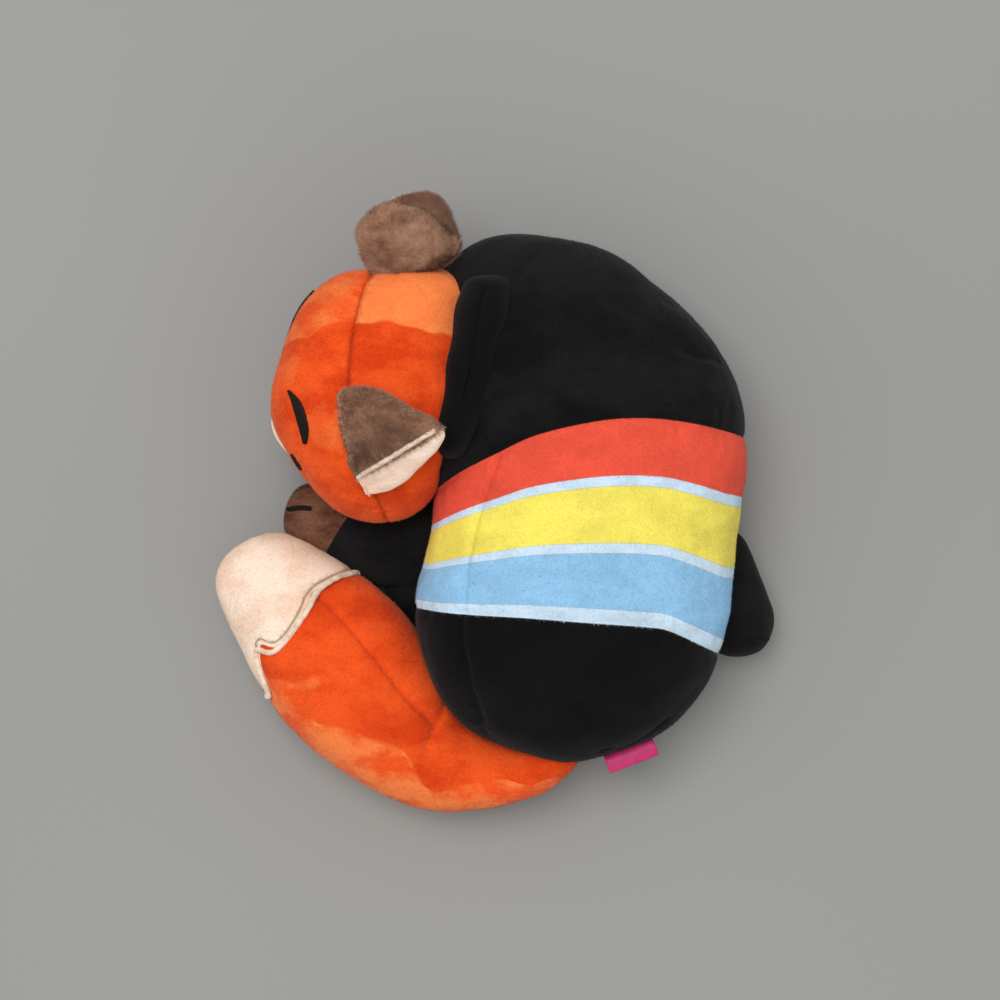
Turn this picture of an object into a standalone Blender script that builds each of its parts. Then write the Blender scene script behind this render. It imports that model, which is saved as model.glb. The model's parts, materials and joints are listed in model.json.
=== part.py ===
"""A stuffed toy fox, curled up asleep on its belly, in a hooded jersey with a striped band.

The origin is on the floor under the middle of the toy. +X runs from the face towards the back,
+Y from the rump towards the far ear, and +Z is up. Lengths are in metres.
"""
import math

import bmesh
import bpy
from mathutils import Matrix, Vector

# Fabric and sewing
SKIN = 0.0015
GAP = 0.0003
WADDING_GAP = 0.0006
STITCH_HEIGHT = 0.0008
STITCH_CLEARANCE = 0.0004
FLOOR_CUT = 0.0005
OVERRUN = 0.012

# Head
HEAD_X = -0.0485
HEAD_Y = 0.0427
HEAD_DEPTH = 0.0745
HEAD_WIDTH = 0.100
HEAD_UNDERSIDE = 0.0165
HEAD_CROWN = 0.033
HEAD_DROP = 0.030
HEAD_FULLNESS = 2.2
MUZZLE_HEIGHT = 0.0045
NOSE_HEIGHT = 0.004
RIM_HEIGHT = 0.0006
EYE_WIDTH = 0.0036
MOUTH_WIDTH = 0.002

# Ears
EAR_NEAR_LENGTH = 0.0300
EAR_NEAR_BASE = 0.046
EAR_NEAR_THICKNESS = 0.022
EAR_FAR_LENGTH = 0.030
EAR_FAR_BASE = 0.040
EAR_FAR_THICKNESS = 0.020
EAR_ROOT_DEPTH = 0.010
EAR_TIP_ROUND = 0.009

EAR_NEAR_ROOT = (-0.0443, 0.0240, 0.0765)
EAR_NEAR_BASE_DIRECTION = (0.27, -0.93, -0.26)
EAR_NEAR_RISE_DIRECTION = (0.85, 0.10, 0.52)
EAR_FAR_ROOT = (-0.0328, 0.0913, 0.0560)
EAR_FAR_BASE_DIRECTION = (0.97, -0.24, 0)
EAR_FAR_RISE_DIRECTION = (0.22, 0.90, 0.38)

# Where the back meets the lining: how far along the base, and the way the back lies from there,
# as shares along the base, up the ear and out of the back
EAR_NEAR_SPLIT = (0.009, (-0.92, -0.30, 0.26))
EAR_FAR_SPLIT = (0, (0, 0, 1))

# Body
TORSO_X = 0.0359
TORSO_Y = 0.0071
TORSO_WIDTH = 0.1225
TORSO_LENGTH = 0.2035
TORSO_WIDEST = 0.037
TORSO_CROWN = 0.043
TORSO_FULLNESS = 2.3
NECK_X = -0.0158
NECK_Y = 0.0462
NECK_PIVOT_HEIGHT = 0.0705
NECK_LEAN = math.radians(8)
HOOD_THICKNESS = 0.013
HOOD_HEIGHT = 0.034
HOOD_MIDDLE = 0.062
HOOD_LENGTH = 0.072

# Tail
TAIL_ROOT_X = 0.0249
TAIL_ROOT_Y = -0.0984
TAIL_SPAN = 0.1235
TAIL_WIDTH = 0.065
TAIL_HEIGHT = 0.050
TAIL_ROUND = 0.016
TAIL_PIVOT_X = 0.0303
TAIL_PIVOT_Y = -0.0980

# Legs
NEAR_SHOULDER_X = -0.0093
NEAR_SHOULDER_Y = 0.0033
NEAR_LEG_SPAN = 0.072
NEAR_LEG_WIDTH = 0.032
NEAR_PAW_SHARE = 0.70
FAR_SHOULDER_X = -0.0128
FAR_SHOULDER_Y = 0.0908
FAR_LEG_SPAN = 0.062
FAR_LEG_WIDTH = 0.028
FAR_LEG_HEIGHT = 0.030
FAR_PAW_SHARE = 0.62
HIP_X = 0.0807
HIP_Y = -0.0092
HIND_LEG_SPAN = 0.049
HIND_LEG_WIDTH = 0.031
HIP_PIVOT_X = 0.0885
HIP_PIVOT_Y = -0.0092
INNER_HIP_X = -0.0305
INNER_HIP_Y = -0.0282
INNER_LEG_SPAN = 0.038
INNER_LEG_WIDTH = 0.020
LEG_ROUND = 0.013
TOE_STITCH_WIDTH = 0.002

# Tag
TAG_TURN = math.radians(278.6)
TAG_LENGTH = 0.020
TAG_REACH = 0.0065
TAG_THICKNESS = 0.0009
TAG_CLEARANCE = 0.0004
TAG_HEADING = math.radians(21)

# Joint limits
EAR_NEAR_LIFT = math.radians(35)
EAR_FAR_LIFT = math.radians(30)
TAIL_SWING = math.radians(35)
HIND_SWING = math.radians(30)
TAG_FLAP = math.radians(40)
HEAD_LIFT = math.radians(15)

TAIL_ROOT_CUT_SHARE = 0.03
HIP_CUT_SHARE = 0.10

# Mesh detail: points around, and rows from end to end
HEAD_DETAIL = (32, 12)
TORSO_DETAIL = (36, 14)
TAIL_DETAIL = (16, 15)
LEG_DETAIL = (12, 10)
EAR_DETAIL = (16, 9)
HOOD_DETAIL = (14, 14)
PATCH_DETAIL = 24
STROKE_DETAIL = 13
STROKE_NUDGE_SHARE = 0.02
STROKE_TOP_SHARE = 0.7
LENGTH_STEPS = 60
PATH_NUDGE_SHARE = 0.01
RELIEF_STEPS = 4
PATCH_RING_SHARES = (0.3, 0.6, 0.85, 1)
SOFT_REACH = math.radians(7)
SOFT_WEIGHTS = (1, 2, 3, 2, 1)

# Outlines seen from above, as shares of half the depth and half the width
HEAD_OUTLINE_SHARES = (
    (-0.97, -0.04), (-0.99, -0.18), (-0.94, -0.29), (-0.82, -0.43), (-0.69, -0.58), (-0.51, -0.75),
    (-0.28, -0.91), (-0.03, -0.98), (0.19, -0.99), (0.48, -0.91), (0.80, -0.66), (1.04, -0.28),
    (1.17, 0.10), (1.20, 0.50), (1.02, 0.88), (0.66, 1.00), (0.33, 1.00), (-0.04, 0.96),
    (-0.34, 0.91), (-0.60, 0.77), (-0.78, 0.54), (-0.90, 0.24),
)
TORSO_OUTLINE_SHARES = (
    (0.97, 0.19), (0.94, 0.36), (0.87, 0.48), (0.73, 0.61), (0.52, 0.73), (0.28, 0.83), (0.04, 0.92),
    (-0.33, 0.96), (-0.66, 0.95), (-0.88, 0.88), (-0.96, 0.70), (-1.00, 0.48), (-1.01, 0.26),
    (-1.00, 0.06), (-1.00, -0.12), (-1.04, -0.28), (-1.09, -0.42), (-1.07, -0.56), (-0.99, -0.71),
    (-0.83, -0.85), (-0.56, -0.96), (-0.19, -1.03), (0.09, -1.00), (0.42, -0.93), (0.65, -0.81),
    (0.77, -0.70), (0.82, -0.60), (0.87, -0.39), (0.92, -0.20), (0.96, -0.01),
)
# The ear-to-ear seam of the head, from the far side to the near side
CROWN_SEAM_SHARES = (
    (0.08, 1.00), (-0.04, 0.81), (-0.14, 0.56), (-0.23, 0.26), (-0.24, 0.08), (-0.19, -0.26),
    (-0.06, -0.56), (0.10, -0.80), (0.21, -1.00),
)
# The two edges of the striped band, from the inner side of the curl to the outer side
BAND_TOP_SHARES = (
    (-1.00, -0.02), (-0.81, 0.06), (-0.58, 0.13), (-0.34, 0.195), (0.03, 0.245), (0.33, 0.255),
    (0.63, 0.235), (0.97, 0.19),
)
BAND_FOOT_SHARES = (
    (-1.10, -0.435), (-0.81, -0.45), (-0.43, -0.46), (0.03, -0.48), (0.33, -0.495), (0.48, -0.515),
    (0.80, -0.61),
)
# The scalloped seam of the tail tip, as shares of the tail's span from its root
TIP_SEAM_SHARES = (
    (-0.62, 0.64), (-0.775, 0.54), (-0.80, 0.49), (-0.853, 0.403), (-0.90, 0.372), (-0.947, 0.378),
    (-0.935, 0.31), (-0.91, 0.20),
)
# Middle lines of the limbs, as shares of each limb's span from its root
TAIL_PATH_SHARES = (
    (0.06, 0.07), (-0.11, -0.02), (-0.27, -0.02), (-0.43, 0.04), (-0.57, 0.175), (-0.675, 0.30),
    (-0.775, 0.42), (-0.862, 0.518), (-0.937, 0.605), (-0.99, 0.69),
)
TAIL_WIDTH_SHARES = (0.30, 0.36, 0.54, 0.75, 0.95, 1.00, 0.92, 0.79, 0.66, 0.50)
TAIL_HEIGHT_SHARES = (0.44, 0.50, 0.66, 0.82, 0.96, 1.00, 0.94, 0.84, 0.68, 0.50)
TAIL_LIFT_SHARES = (0.17, 0.13, 0.05, 0.01, 0, 0, 0, 0, 0, 0)
NEAR_LEG_PATH_SHARES = (
    (0.00, 0.00), (-0.18, -0.17), (-0.37, -0.25), (-0.60, -0.22), (-0.80, -0.11), (-1.01, -0.06),
)
NEAR_LEG_WIDTH_SHARES = (0.96, 1.00, 1.00, 0.96, 0.90, 0.84)
FAR_LEG_PATH_SHARES = ((0.10, 0.06), (-0.10, -0.16), (-0.34, -0.38), (-0.58, -0.58), (-0.86, -0.72))
FAR_LEG_WIDTH_SHARES = (1.00, 1.00, 1.00, 0.98, 0.92)
FAR_LEG_HEIGHT_SHARES = (1.15, 0.80, 0.54, 0.50, 0.48)
HIND_LEG_PATH_SHARES = ((0.00, 0.00), (0.13, -0.26), (0.24, -0.58), (0.30, -1.00))
HIND_LEG_WIDTH_SHARES = (0.84, 0.90, 1.00, 1.00)
INNER_LEG_PATH_SHARES = ((0.00, 0.00), (0.06, -0.36), (0.20, -0.70), (0.38, -1.00))
INNER_LEG_WIDTH_SHARES = (1.00, 1.00, 0.94, 0.86)
HOOD_PATH_SHARES = ((0.18, 0.56), (0.155, 0.39), (0.11, 0.20), (0.06, 0.00), (0.015, -0.20), (-0.02, -0.38))
HOOD_WIDTH_SHARES = (1.35, 1.60, 1.30, 1.00, 0.95, 0.85)
HOOD_HEIGHT_SHARES = (0.80, 1.00, 1.00, 1.00, 0.95, 0.80)
EAR_NEAR_TAPER_SHARES = (1.00, 0.96, 0.74, 0.42, 0.14)
EAR_FAR_TAPER_SHARES = (1.00, 1.03, 1.01, 0.68, 0.24)

# Places on the head: degrees round it from +X, and degrees up from its widest line
EYE_NEAR_STROKE = ((178, 35), (191, 43), (204, 47), (212, 44), (218, 38))
EYE_FAR_STROKE = ((154, 8), (144, 4), (134, 2), (125, 4), (117, 9))
MOUTH_STROKE = ((221, 15), (222, 9), (223, 3), (225, -4))
MUZZLE_MIDDLE = (203, -31)
MUZZLE_REACH = (23, 23)
NOSE_MIDDLE = (203, -46)
NOSE_REACH = (9, 7)
# Places on the limbs: a share of the length, and the degrees over the top where a stitch runs
NEAR_TOE_PLACE = (0.90, 125, 75)
FAR_TOE_PLACE = (0.90, 215, 170)
HIND_TOE_PLACE = (0.88, 70, 30)
STROKE_WIDTH_SHARES = (0.45, 0.85, 1.00, 0.85, 0.45)

# Finishes
ORANGE = (0.72, 0.15, 0.03)
DEEP_ORANGE = (0.65, 0.11, 0.02)
CREAM = (0.84, 0.72, 0.52)
BROWN = (0.30, 0.17, 0.11)
BLACK = (0.012, 0.012, 0.013)
RED = (0.85, 0.12, 0.05)
MAGENTA = (0.5, 0.02, 0.14)
WHITE = (0.8, 0.8, 0.78)
PILE_ROUGHNESS = 0.9
THREAD_ROUGHNESS = 0.6
RIBBON_ROUGHNESS = 0.5

PARTS = "plush_fox"
CUTTERS = "cutters"


def clear_scene():
    """Remove whatever the scene holds."""
    for item in list(bpy.data.objects):
        bpy.data.objects.remove(item, do_unlink=True)


def collection(name):
    """A new collection of the scene."""
    group = bpy.data.collections.new(name)
    bpy.context.scene.collection.children.link(group)
    return group


def fabric(name, colour, roughness=PILE_ROUGHNESS):
    """A plain cloth finish."""
    finish = bpy.data.materials.new(name)
    finish.use_nodes = True
    shader = finish.node_tree.nodes["Principled BSDF"]
    shader.inputs["Base Color"].default_value = (*colour, 1)
    shader.inputs["Roughness"].default_value = roughness
    shader.inputs["Metallic"].default_value = 0
    return finish


def smooth_value(table, place):
    """A smooth curve through the rows of a table; place runs from 0 to 1."""
    last = len(table) - 1
    spot = min(max(place, 0), 1) * last
    row = min(int(spot), last - 1)
    step = spot - row
    before = table[max(row - 1, 0)]
    start = table[row]
    end = table[row + 1]
    after = table[min(row + 2, last)]
    return (start + (end - before) * (step / 2)
            + (before * 2 - start * 5 + end * 4 - after) * (step ** 2 / 2)
            + (start * 3 - before - end * 3 + after) * (step ** 3 / 2))


class Puff:
    """A stuffed body: a ball drawn out to an outline, with its own crown and underside."""

    def __init__(self, middle, halves, outline, crown, drop, fullness, detail):
        self.middle = Vector(middle)
        self.detail = detail
        self.crown = crown
        self.drop = drop
        self.fullness = fullness
        spots = [Vector((x * halves[0], y * halves[1])) for x, y in outline]
        polar = sorted((math.atan2(spot.y, spot.x) % math.tau, spot.length) for spot in spots)
        first_angle, first_radius = polar[0]
        last_angle, last_radius = polar[-1]
        self.polar = ([(last_angle - math.tau, last_radius)] + polar
                      + [(first_angle + math.tau, first_radius)])

    def radius(self, angle):
        """The outline's distance from the middle in one direction."""
        turn = angle % math.tau
        for (low, low_radius), (high, high_radius) in zip(self.polar, self.polar[1:]):
            if low <= turn <= high:
                share = (turn - low) / (high - low)
                return low_radius + (high_radius - low_radius) * share
        return self.polar[-1][1]

    def soft_radius(self, angle):
        """The outline with its corners rounded off."""
        around = [self.radius(angle + SOFT_REACH * step / 2) for step in (-2, -1, 0, 1, 2)]
        total = sum(weight * value for weight, value in zip(SOFT_WEIGHTS, around))
        return total / sum(SOFT_WEIGHTS)

    def point(self, angle, lift, inset=0):
        """A point of the skin, or of a layer that lies inset under it."""
        power = 2 / self.fullness
        flat = max(math.cos(lift), 0) ** power
        rise = abs(math.sin(lift)) ** power
        reach = (self.soft_radius(angle) - inset) * flat
        height = (self.crown - inset) * rise
        if lift < 0:
            height = -(self.drop - inset) * rise
        return self.middle + Vector((reach * math.cos(angle), reach * math.sin(angle), height))

    def mesh(self, inset=0):
        """The closed surface of the body or of one of its layers."""
        around, up = self.detail
        rings = []
        for row in range(1, up):
            lift = -math.pi / 2 + math.pi * row / up
            rings.append([self.point(math.tau * step / around, lift, inset) for step in range(around)])
        ends = (self.point(0, -math.pi / 2, inset), self.point(0, math.pi / 2, inset))
        return loft(rings, ends)


class Limb:
    """A stuffed limb: oval sections along a smooth path, with rounded ends."""

    def __init__(self, path, widths, heights, end_round, detail, across=None, blunt_start=False):
        self.path = [Vector(spot) for spot in path]
        self.detail = detail
        self.widths = widths
        self.heights = heights
        self.end_round = end_round
        self.across = across
        self.blunt_start = blunt_start
        steps = [smooth_value(self.path, step / LENGTH_STEPS) for step in range(LENGTH_STEPS + 1)]
        self.length = sum((b - a).length for a, b in zip(steps, steps[1:]))

    def frame(self, place):
        """The middle, the side direction and the upward direction at a place from 0 to 1."""
        ahead = smooth_value(self.path, min(place + PATH_NUDGE_SHARE, 1))
        behind = smooth_value(self.path, max(place - PATH_NUDGE_SHARE, 0))
        along = (ahead - behind).normalized()
        if self.across is None:
            side = Vector((0, 0, 1)).cross(along).normalized()
        else:
            side = (self.across - along * self.across.dot(along)).normalized()
        return smooth_value(self.path, place), side, along.cross(side)

    def point(self, place, turn, inset=0):
        """A point of the skin, or of a layer under it; turn is 0 at the side and 90 on top."""
        middle, side, up = self.frame(place)
        from_end = (1 - place) * self.length
        if not self.blunt_start:
            from_end = min(from_end, place * self.length)
        closing = min(max((from_end - inset) / self.end_round, 0), 1)
        narrowing = math.sqrt(max(1 - (1 - closing) ** 2, 0))
        width = (smooth_value(self.widths, place) - inset) * narrowing
        height = (smooth_value(self.heights, place) - inset) * narrowing
        return middle + side * (width * math.cos(turn)) + up * (height * math.sin(turn))

    def mesh(self, inset=0):
        """The closed surface of the limb or of one of its layers."""
        around, along = self.detail
        start = 0 if self.blunt_start else inset / self.length
        finish = 1 - inset / self.length
        rings = []
        for row in range(1, along):
            place = start + (finish - start) * (1 - math.cos(math.pi * row / along)) / 2
            rings.append([self.point(place, math.tau * step / around, inset) for step in range(around)])
        ends = (smooth_value(self.path, start), smooth_value(self.path, finish))
        return loft(rings, ends)


def loft(rings, ends):
    """A closed surface through rings of equal counts, drawn to a point at each end."""
    surface = bmesh.new()
    rows = [[surface.verts.new(spot) for spot in ring] for ring in rings]
    around = len(rows[0])
    first = surface.verts.new(ends[0])
    last = surface.verts.new(ends[1])
    for step in range(around):
        beside = (step + 1) % around
        surface.faces.new((first, rows[0][beside], rows[0][step]))
        surface.faces.new((last, rows[-1][step], rows[-1][beside]))
        for low, high in zip(rows, rows[1:]):
            surface.faces.new((low[step], low[beside], high[beside], high[step]))
    bmesh.ops.recalc_face_normals(surface, faces=surface.faces)
    return surface


def add(surface, name, group, finish=None):
    """Make an object of a surface; one without a finish is a cutter."""
    mesh = bpy.data.meshes.new(name)
    surface.to_mesh(mesh)
    surface.free()
    mesh.shade_smooth()
    piece = bpy.data.objects.new(name, mesh)
    group.objects.link(piece)
    if finish is None:
        piece.hide_render = True
        piece.display_type = "WIRE"
    else:
        mesh.materials.append(finish)
    return piece


def carve(piece, cutter, operation="DIFFERENCE"):
    """Cut a piece with a cutter, or keep only what they share."""
    step = piece.modifiers.new(cutter.name, "BOOLEAN")
    step.operation = operation
    step.solver = "EXACT"
    step.object = cutter


def hang(group, label, pivot, names):
    """Parent the pieces of a moving body to an empty on its joint's axis."""
    pin = bpy.data.objects.new(f"{label}_pivot", None)
    pin.location = pivot
    group.objects.link(pin)
    for name in names:
        piece = bpy.data.objects[name]
        piece.parent = pin
        piece.matrix_parent_inverse = Matrix.Translation(-pivot)


def wall_prism(name, group, outline, low, high):
    """An upright cutter over an outline of plan points."""
    surface = bmesh.new()
    foot = [surface.verts.new((x, y, low)) for x, y in outline]
    face = surface.faces.new(foot)
    raised = bmesh.ops.extrude_face_region(surface, geom=[face])
    top = [item for item in raised["geom"] if isinstance(item, bmesh.types.BMVert)]
    bmesh.ops.translate(surface, verts=top, vec=(0, 0, high - low))
    bmesh.ops.recalc_face_normals(surface, faces=surface.faces)
    return add(surface, name, group)


def block(name, group, size, place, turn):
    """A box cutter."""
    surface = bmesh.new()
    bmesh.ops.create_cube(surface, size=1)
    bmesh.ops.scale(surface, verts=surface.verts, vec=size)
    bmesh.ops.rotate(surface, verts=surface.verts, matrix=turn)
    bmesh.ops.translate(surface, verts=surface.verts, vec=place)
    return add(surface, name, group)


def swing_reliefs(label, group, wall, joint, swing):
    """Copies of a wall, turned back about a joint, that clear a piece's way past it."""
    pivot, axis = joint
    reliefs = []
    for step in range(RELIEF_STEPS):
        turn = Matrix.Rotation(-swing * (step + 1) / RELIEF_STEPS, 3, axis)
        surface = wall.mesh(-GAP)
        bmesh.ops.rotate(surface, verts=surface.verts, cent=pivot, matrix=turn)
        reliefs.append(add(surface, f"{label}_relief_{step}", group))
    return reliefs


def stroke(name, group, finish, spots, ups, width):
    """A raised embroidered line along points of a surface, widest in its middle."""
    surface = bmesh.new()
    rings = []
    section = ((-1, 0), (1, 0), (STROKE_TOP_SHARE, STITCH_HEIGHT), (-STROKE_TOP_SHARE, STITCH_HEIGHT))
    for step in range(STROKE_DETAIL):
        place = step / (STROKE_DETAIL - 1)
        middle = smooth_value(spots, place)
        up = smooth_value(ups, place).normalized()
        ahead = smooth_value(spots, min(place + STROKE_NUDGE_SHARE, 1))
        behind = smooth_value(spots, max(place - STROKE_NUDGE_SHARE, 0))
        side = (ahead - behind).cross(up).normalized()
        half = width / 2 * smooth_value(STROKE_WIDTH_SHARES, place)
        rings.append([surface.verts.new(middle + side * half * across + up * (STITCH_CLEARANCE + raised))
                      for across, raised in section])
    for before, after in zip(rings, rings[1:]):
        for corner in range(4):
            beside = (corner + 1) % 4
            surface.faces.new((before[corner], before[beside], after[beside], after[corner]))
    surface.faces.new(rings[0])
    surface.faces.new(rings[-1])
    bmesh.ops.recalc_face_normals(surface, faces=surface.faces)
    add(surface, name, group, finish)


def head_stroke(name, group, finish, head, stroke_angles, width):
    """An embroidered line on the head."""
    spots = []
    ups = []
    for turn, lift in stroke_angles:
        spot = head.point(math.radians(turn), math.radians(lift))
        spots.append(spot)
        ups.append((head.point(math.radians(turn), math.radians(lift), -SKIN) - spot).normalized())
    stroke(name, group, finish, spots, ups, width)


def toe_stitch(name, group, finish, limb, place, turn_from, turn_to):
    """An embroidered toe line over the end of a limb."""
    spots = []
    ups = []
    for step in range(5):
        turn = math.radians(turn_from + (turn_to - turn_from) * step / 4)
        spot = limb.point(place, turn)
        spots.append(spot)
        ups.append((limb.point(place, turn, -SKIN) - spot).normalized())
    stroke(name, group, finish, spots, ups, TOE_STITCH_WIDTH)


def pad(name, group, finish, head, middle, reach, base, height):
    """A domed patch on the head, over an oval of directions."""
    rings = []
    under = [(share, 0) for share in PATCH_RING_SHARES]
    dome = height - RIM_HEIGHT
    over = [(share, RIM_HEIGHT + dome * math.sqrt(1 - share ** 2)) for share in PATCH_RING_SHARES[::-1]]
    for share, rise in under + over:
        ring = []
        for step in range(PATCH_DETAIL):
            spin = math.tau * step / PATCH_DETAIL
            turn = math.radians(middle[0] + reach[0] * share * math.cos(spin))
            lift = math.radians(middle[1] + reach[1] * share * math.sin(spin))
            ring.append(head.point(turn, lift, -base - rise))
        rings.append(ring)
    turn, lift = (math.radians(value) for value in middle)
    ends = (head.point(turn, lift, -base), head.point(turn, lift, -base - height))
    add(loft(rings, ends), name, group, finish)


def limb_path(root, span, path_shares, heights, lifts):
    """A limb's middle line: each section rests on the floor, sunk by the floor cut, or is lifted."""
    return [Vector((root[0] + x * span, root[1] + y * span, height - FLOOR_CUT + lift * span))
            for (x, y), height, lift in zip(path_shares, heights, lifts)]


def plan(middle, halves, shares):
    """Plan points given as shares of half sizes about a middle."""
    return [(middle[0] + x * halves[0], middle[1] + y * halves[1]) for x, y in shares]


# The forms
def head_form():
    middle = (HEAD_X, HEAD_Y, HEAD_UNDERSIDE + HEAD_DROP)
    return Puff(middle, (HEAD_DEPTH / 2, HEAD_WIDTH / 2), HEAD_OUTLINE_SHARES,
                HEAD_CROWN, HEAD_DROP, HEAD_FULLNESS, HEAD_DETAIL)


def torso_form():
    middle = (TORSO_X, TORSO_Y, TORSO_WIDEST)
    return Puff(middle, (TORSO_WIDTH / 2, TORSO_LENGTH / 2), TORSO_OUTLINE_SHARES,
                TORSO_CROWN, TORSO_WIDEST + FLOOR_CUT, TORSO_FULLNESS, TORSO_DETAIL)


def floor_limb(root, span, path_shares, width, width_shares, height, height_shares, end_round,
               detail, lift_shares=None):
    """A limb that lies on the floor."""
    widths = [width / 2 * share for share in width_shares]
    heights = [height / 2 * share for share in height_shares]
    lifts = lift_shares or [0] * len(path_shares)
    path = limb_path(root, span, path_shares, heights, lifts)
    return Limb(path, widths, heights, end_round, detail)


def tail_form():
    return floor_limb((TAIL_ROOT_X, TAIL_ROOT_Y), TAIL_SPAN, TAIL_PATH_SHARES, TAIL_WIDTH,
                      TAIL_WIDTH_SHARES, TAIL_HEIGHT, TAIL_HEIGHT_SHARES, TAIL_ROUND, TAIL_DETAIL,
                      TAIL_LIFT_SHARES)


def near_leg_form():
    return floor_limb((NEAR_SHOULDER_X, NEAR_SHOULDER_Y), NEAR_LEG_SPAN, NEAR_LEG_PATH_SHARES,
                      NEAR_LEG_WIDTH, NEAR_LEG_WIDTH_SHARES, NEAR_LEG_WIDTH, NEAR_LEG_WIDTH_SHARES,
                      LEG_ROUND, LEG_DETAIL)


def far_leg_form():
    return floor_limb((FAR_SHOULDER_X, FAR_SHOULDER_Y), FAR_LEG_SPAN, FAR_LEG_PATH_SHARES,
                      FAR_LEG_WIDTH, FAR_LEG_WIDTH_SHARES, FAR_LEG_HEIGHT, FAR_LEG_HEIGHT_SHARES,
                      LEG_ROUND, LEG_DETAIL)


def hind_leg_form():
    return floor_limb((HIP_X, HIP_Y), HIND_LEG_SPAN, HIND_LEG_PATH_SHARES, HIND_LEG_WIDTH,
                      HIND_LEG_WIDTH_SHARES, HIND_LEG_WIDTH, HIND_LEG_WIDTH_SHARES, LEG_ROUND,
                      LEG_DETAIL)


def inner_leg_form():
    return floor_limb((INNER_HIP_X, INNER_HIP_Y), INNER_LEG_SPAN, INNER_LEG_PATH_SHARES,
                      INNER_LEG_WIDTH, INNER_LEG_WIDTH_SHARES, INNER_LEG_WIDTH,
                      INNER_LEG_WIDTH_SHARES, LEG_ROUND / 2, LEG_DETAIL)


def shell_core(name, cutters, form, walls):
    """The hollow inside a skin, drawn in from whatever is built up against the form."""
    core = add(form.mesh(SKIN), f"{name}_core", cutters)
    for label, wall in walls:
        carve(core, add(wall.mesh(-GAP - SKIN), f"{name}_core_{label}", cutters))
    return core


def skin(name, parts, finish, form, core, cuts):
    """One panel of a form's skin: the form, less its hollow, less the cuts."""
    panel = add(form.mesh(), name, parts, finish)
    for cutter in cuts:
        carve(panel, cutter)
    carve(panel, core)
    return panel


def filling(name, parts, cutters, finish, form, walls, cuts):
    """The stuffing inside a form."""
    stuffing = add(form.mesh(SKIN + WADDING_GAP), name, parts, finish)
    for label, wall in walls:
        carve(stuffing, add(wall.mesh(-GAP - SKIN - WADDING_GAP), f"{name}_{label}", cutters))
    for cutter in cuts:
        carve(stuffing, cutter)
    return stuffing


def limb_plane(name, cutters, limb, place, reach, clear=0):
    """A cutter that takes everything from a place on a limb towards its tip; reach < 0 for its root."""
    middle, side, up = limb.frame(place)
    along = side.cross(up)
    size = abs(reach)
    turn = Matrix((along, side, up)).transposed()
    offset = along * (math.copysign(size / 2 + clear, reach))
    return block(name, cutters, (size, size, size), middle + offset, turn)


def build_head(parts, cutters, head, neck):
    """The head's two skin panels, its stuffing and its face."""
    orange = fabric("orange_pile", ORANGE)
    deep_orange = fabric("orange_pile_back", DEEP_ORANGE)
    cream = fabric("cream_pile", CREAM)
    thread = fabric("black_thread", BLACK, THREAD_ROUGHNESS)
    wadding = fabric("head_wadding", WHITE)
    seam = plan((HEAD_X, HEAD_Y), (HEAD_DEPTH / 2, HEAD_WIDTH / 2), CROWN_SEAM_SHARES)
    far_end = (seam[0][0], seam[0][1] + OVERRUN)
    near_end = (seam[-1][0], seam[-1][1] - OVERRUN)
    line = [far_end] + seam + [near_end]
    front = HEAD_X - HEAD_DEPTH
    back = HEAD_X + HEAD_DEPTH
    before = [(x - GAP / 2, y) for x, y in line] + [(front, near_end[1]), (front, far_end[1])]
    behind = [(x + GAP / 2, y) for x, y in line] + [(back, near_end[1]), (back, far_end[1])]
    top = HEAD_UNDERSIDE + HEAD_DROP + HEAD_CROWN + OVERRUN
    core = shell_core("head", cutters, head, ())
    face = skin("head_face_skin", parts, orange, head, core, ())
    carve(face, wall_prism("head_before_seam", cutters, before, 0, top), "INTERSECT")
    rear = skin("head_back_skin", parts, deep_orange, head, core, (neck,))
    carve(rear, wall_prism("head_behind_seam", cutters, behind, 0, top), "INTERSECT")
    filling("head_filling", parts, cutters, wadding, head, (), (neck,))
    pad("muzzle", parts, cream, head, MUZZLE_MIDDLE, MUZZLE_REACH, GAP, MUZZLE_HEIGHT)
    pad("nose", parts, thread, head, NOSE_MIDDLE, NOSE_REACH, GAP + MUZZLE_HEIGHT + GAP, NOSE_HEIGHT)
    head_stroke("eye_near", parts, thread, head, EYE_NEAR_STROKE, EYE_WIDTH)
    head_stroke("eye_far", parts, thread, head, EYE_FAR_STROKE, EYE_WIDTH)
    head_stroke("mouth_stitch", parts, thread, head, MOUTH_STROKE, MOUTH_WIDTH)
    hang(parts, "head", joint_places()["head"][0],
         ("head_face_skin", "head_back_skin", "head_filling", "muzzle", "nose", "eye_near", "eye_far",
          "mouth_stitch"))


def ear_axes(base_direction, rise_direction):
    """The ear's directions: along its base, from base to tip, and out of its brown back."""
    rise = Vector(rise_direction).normalized()
    base = Vector(base_direction)
    base = (base - rise * base.dot(rise)).normalized()
    return base, rise, base.cross(rise)


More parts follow.
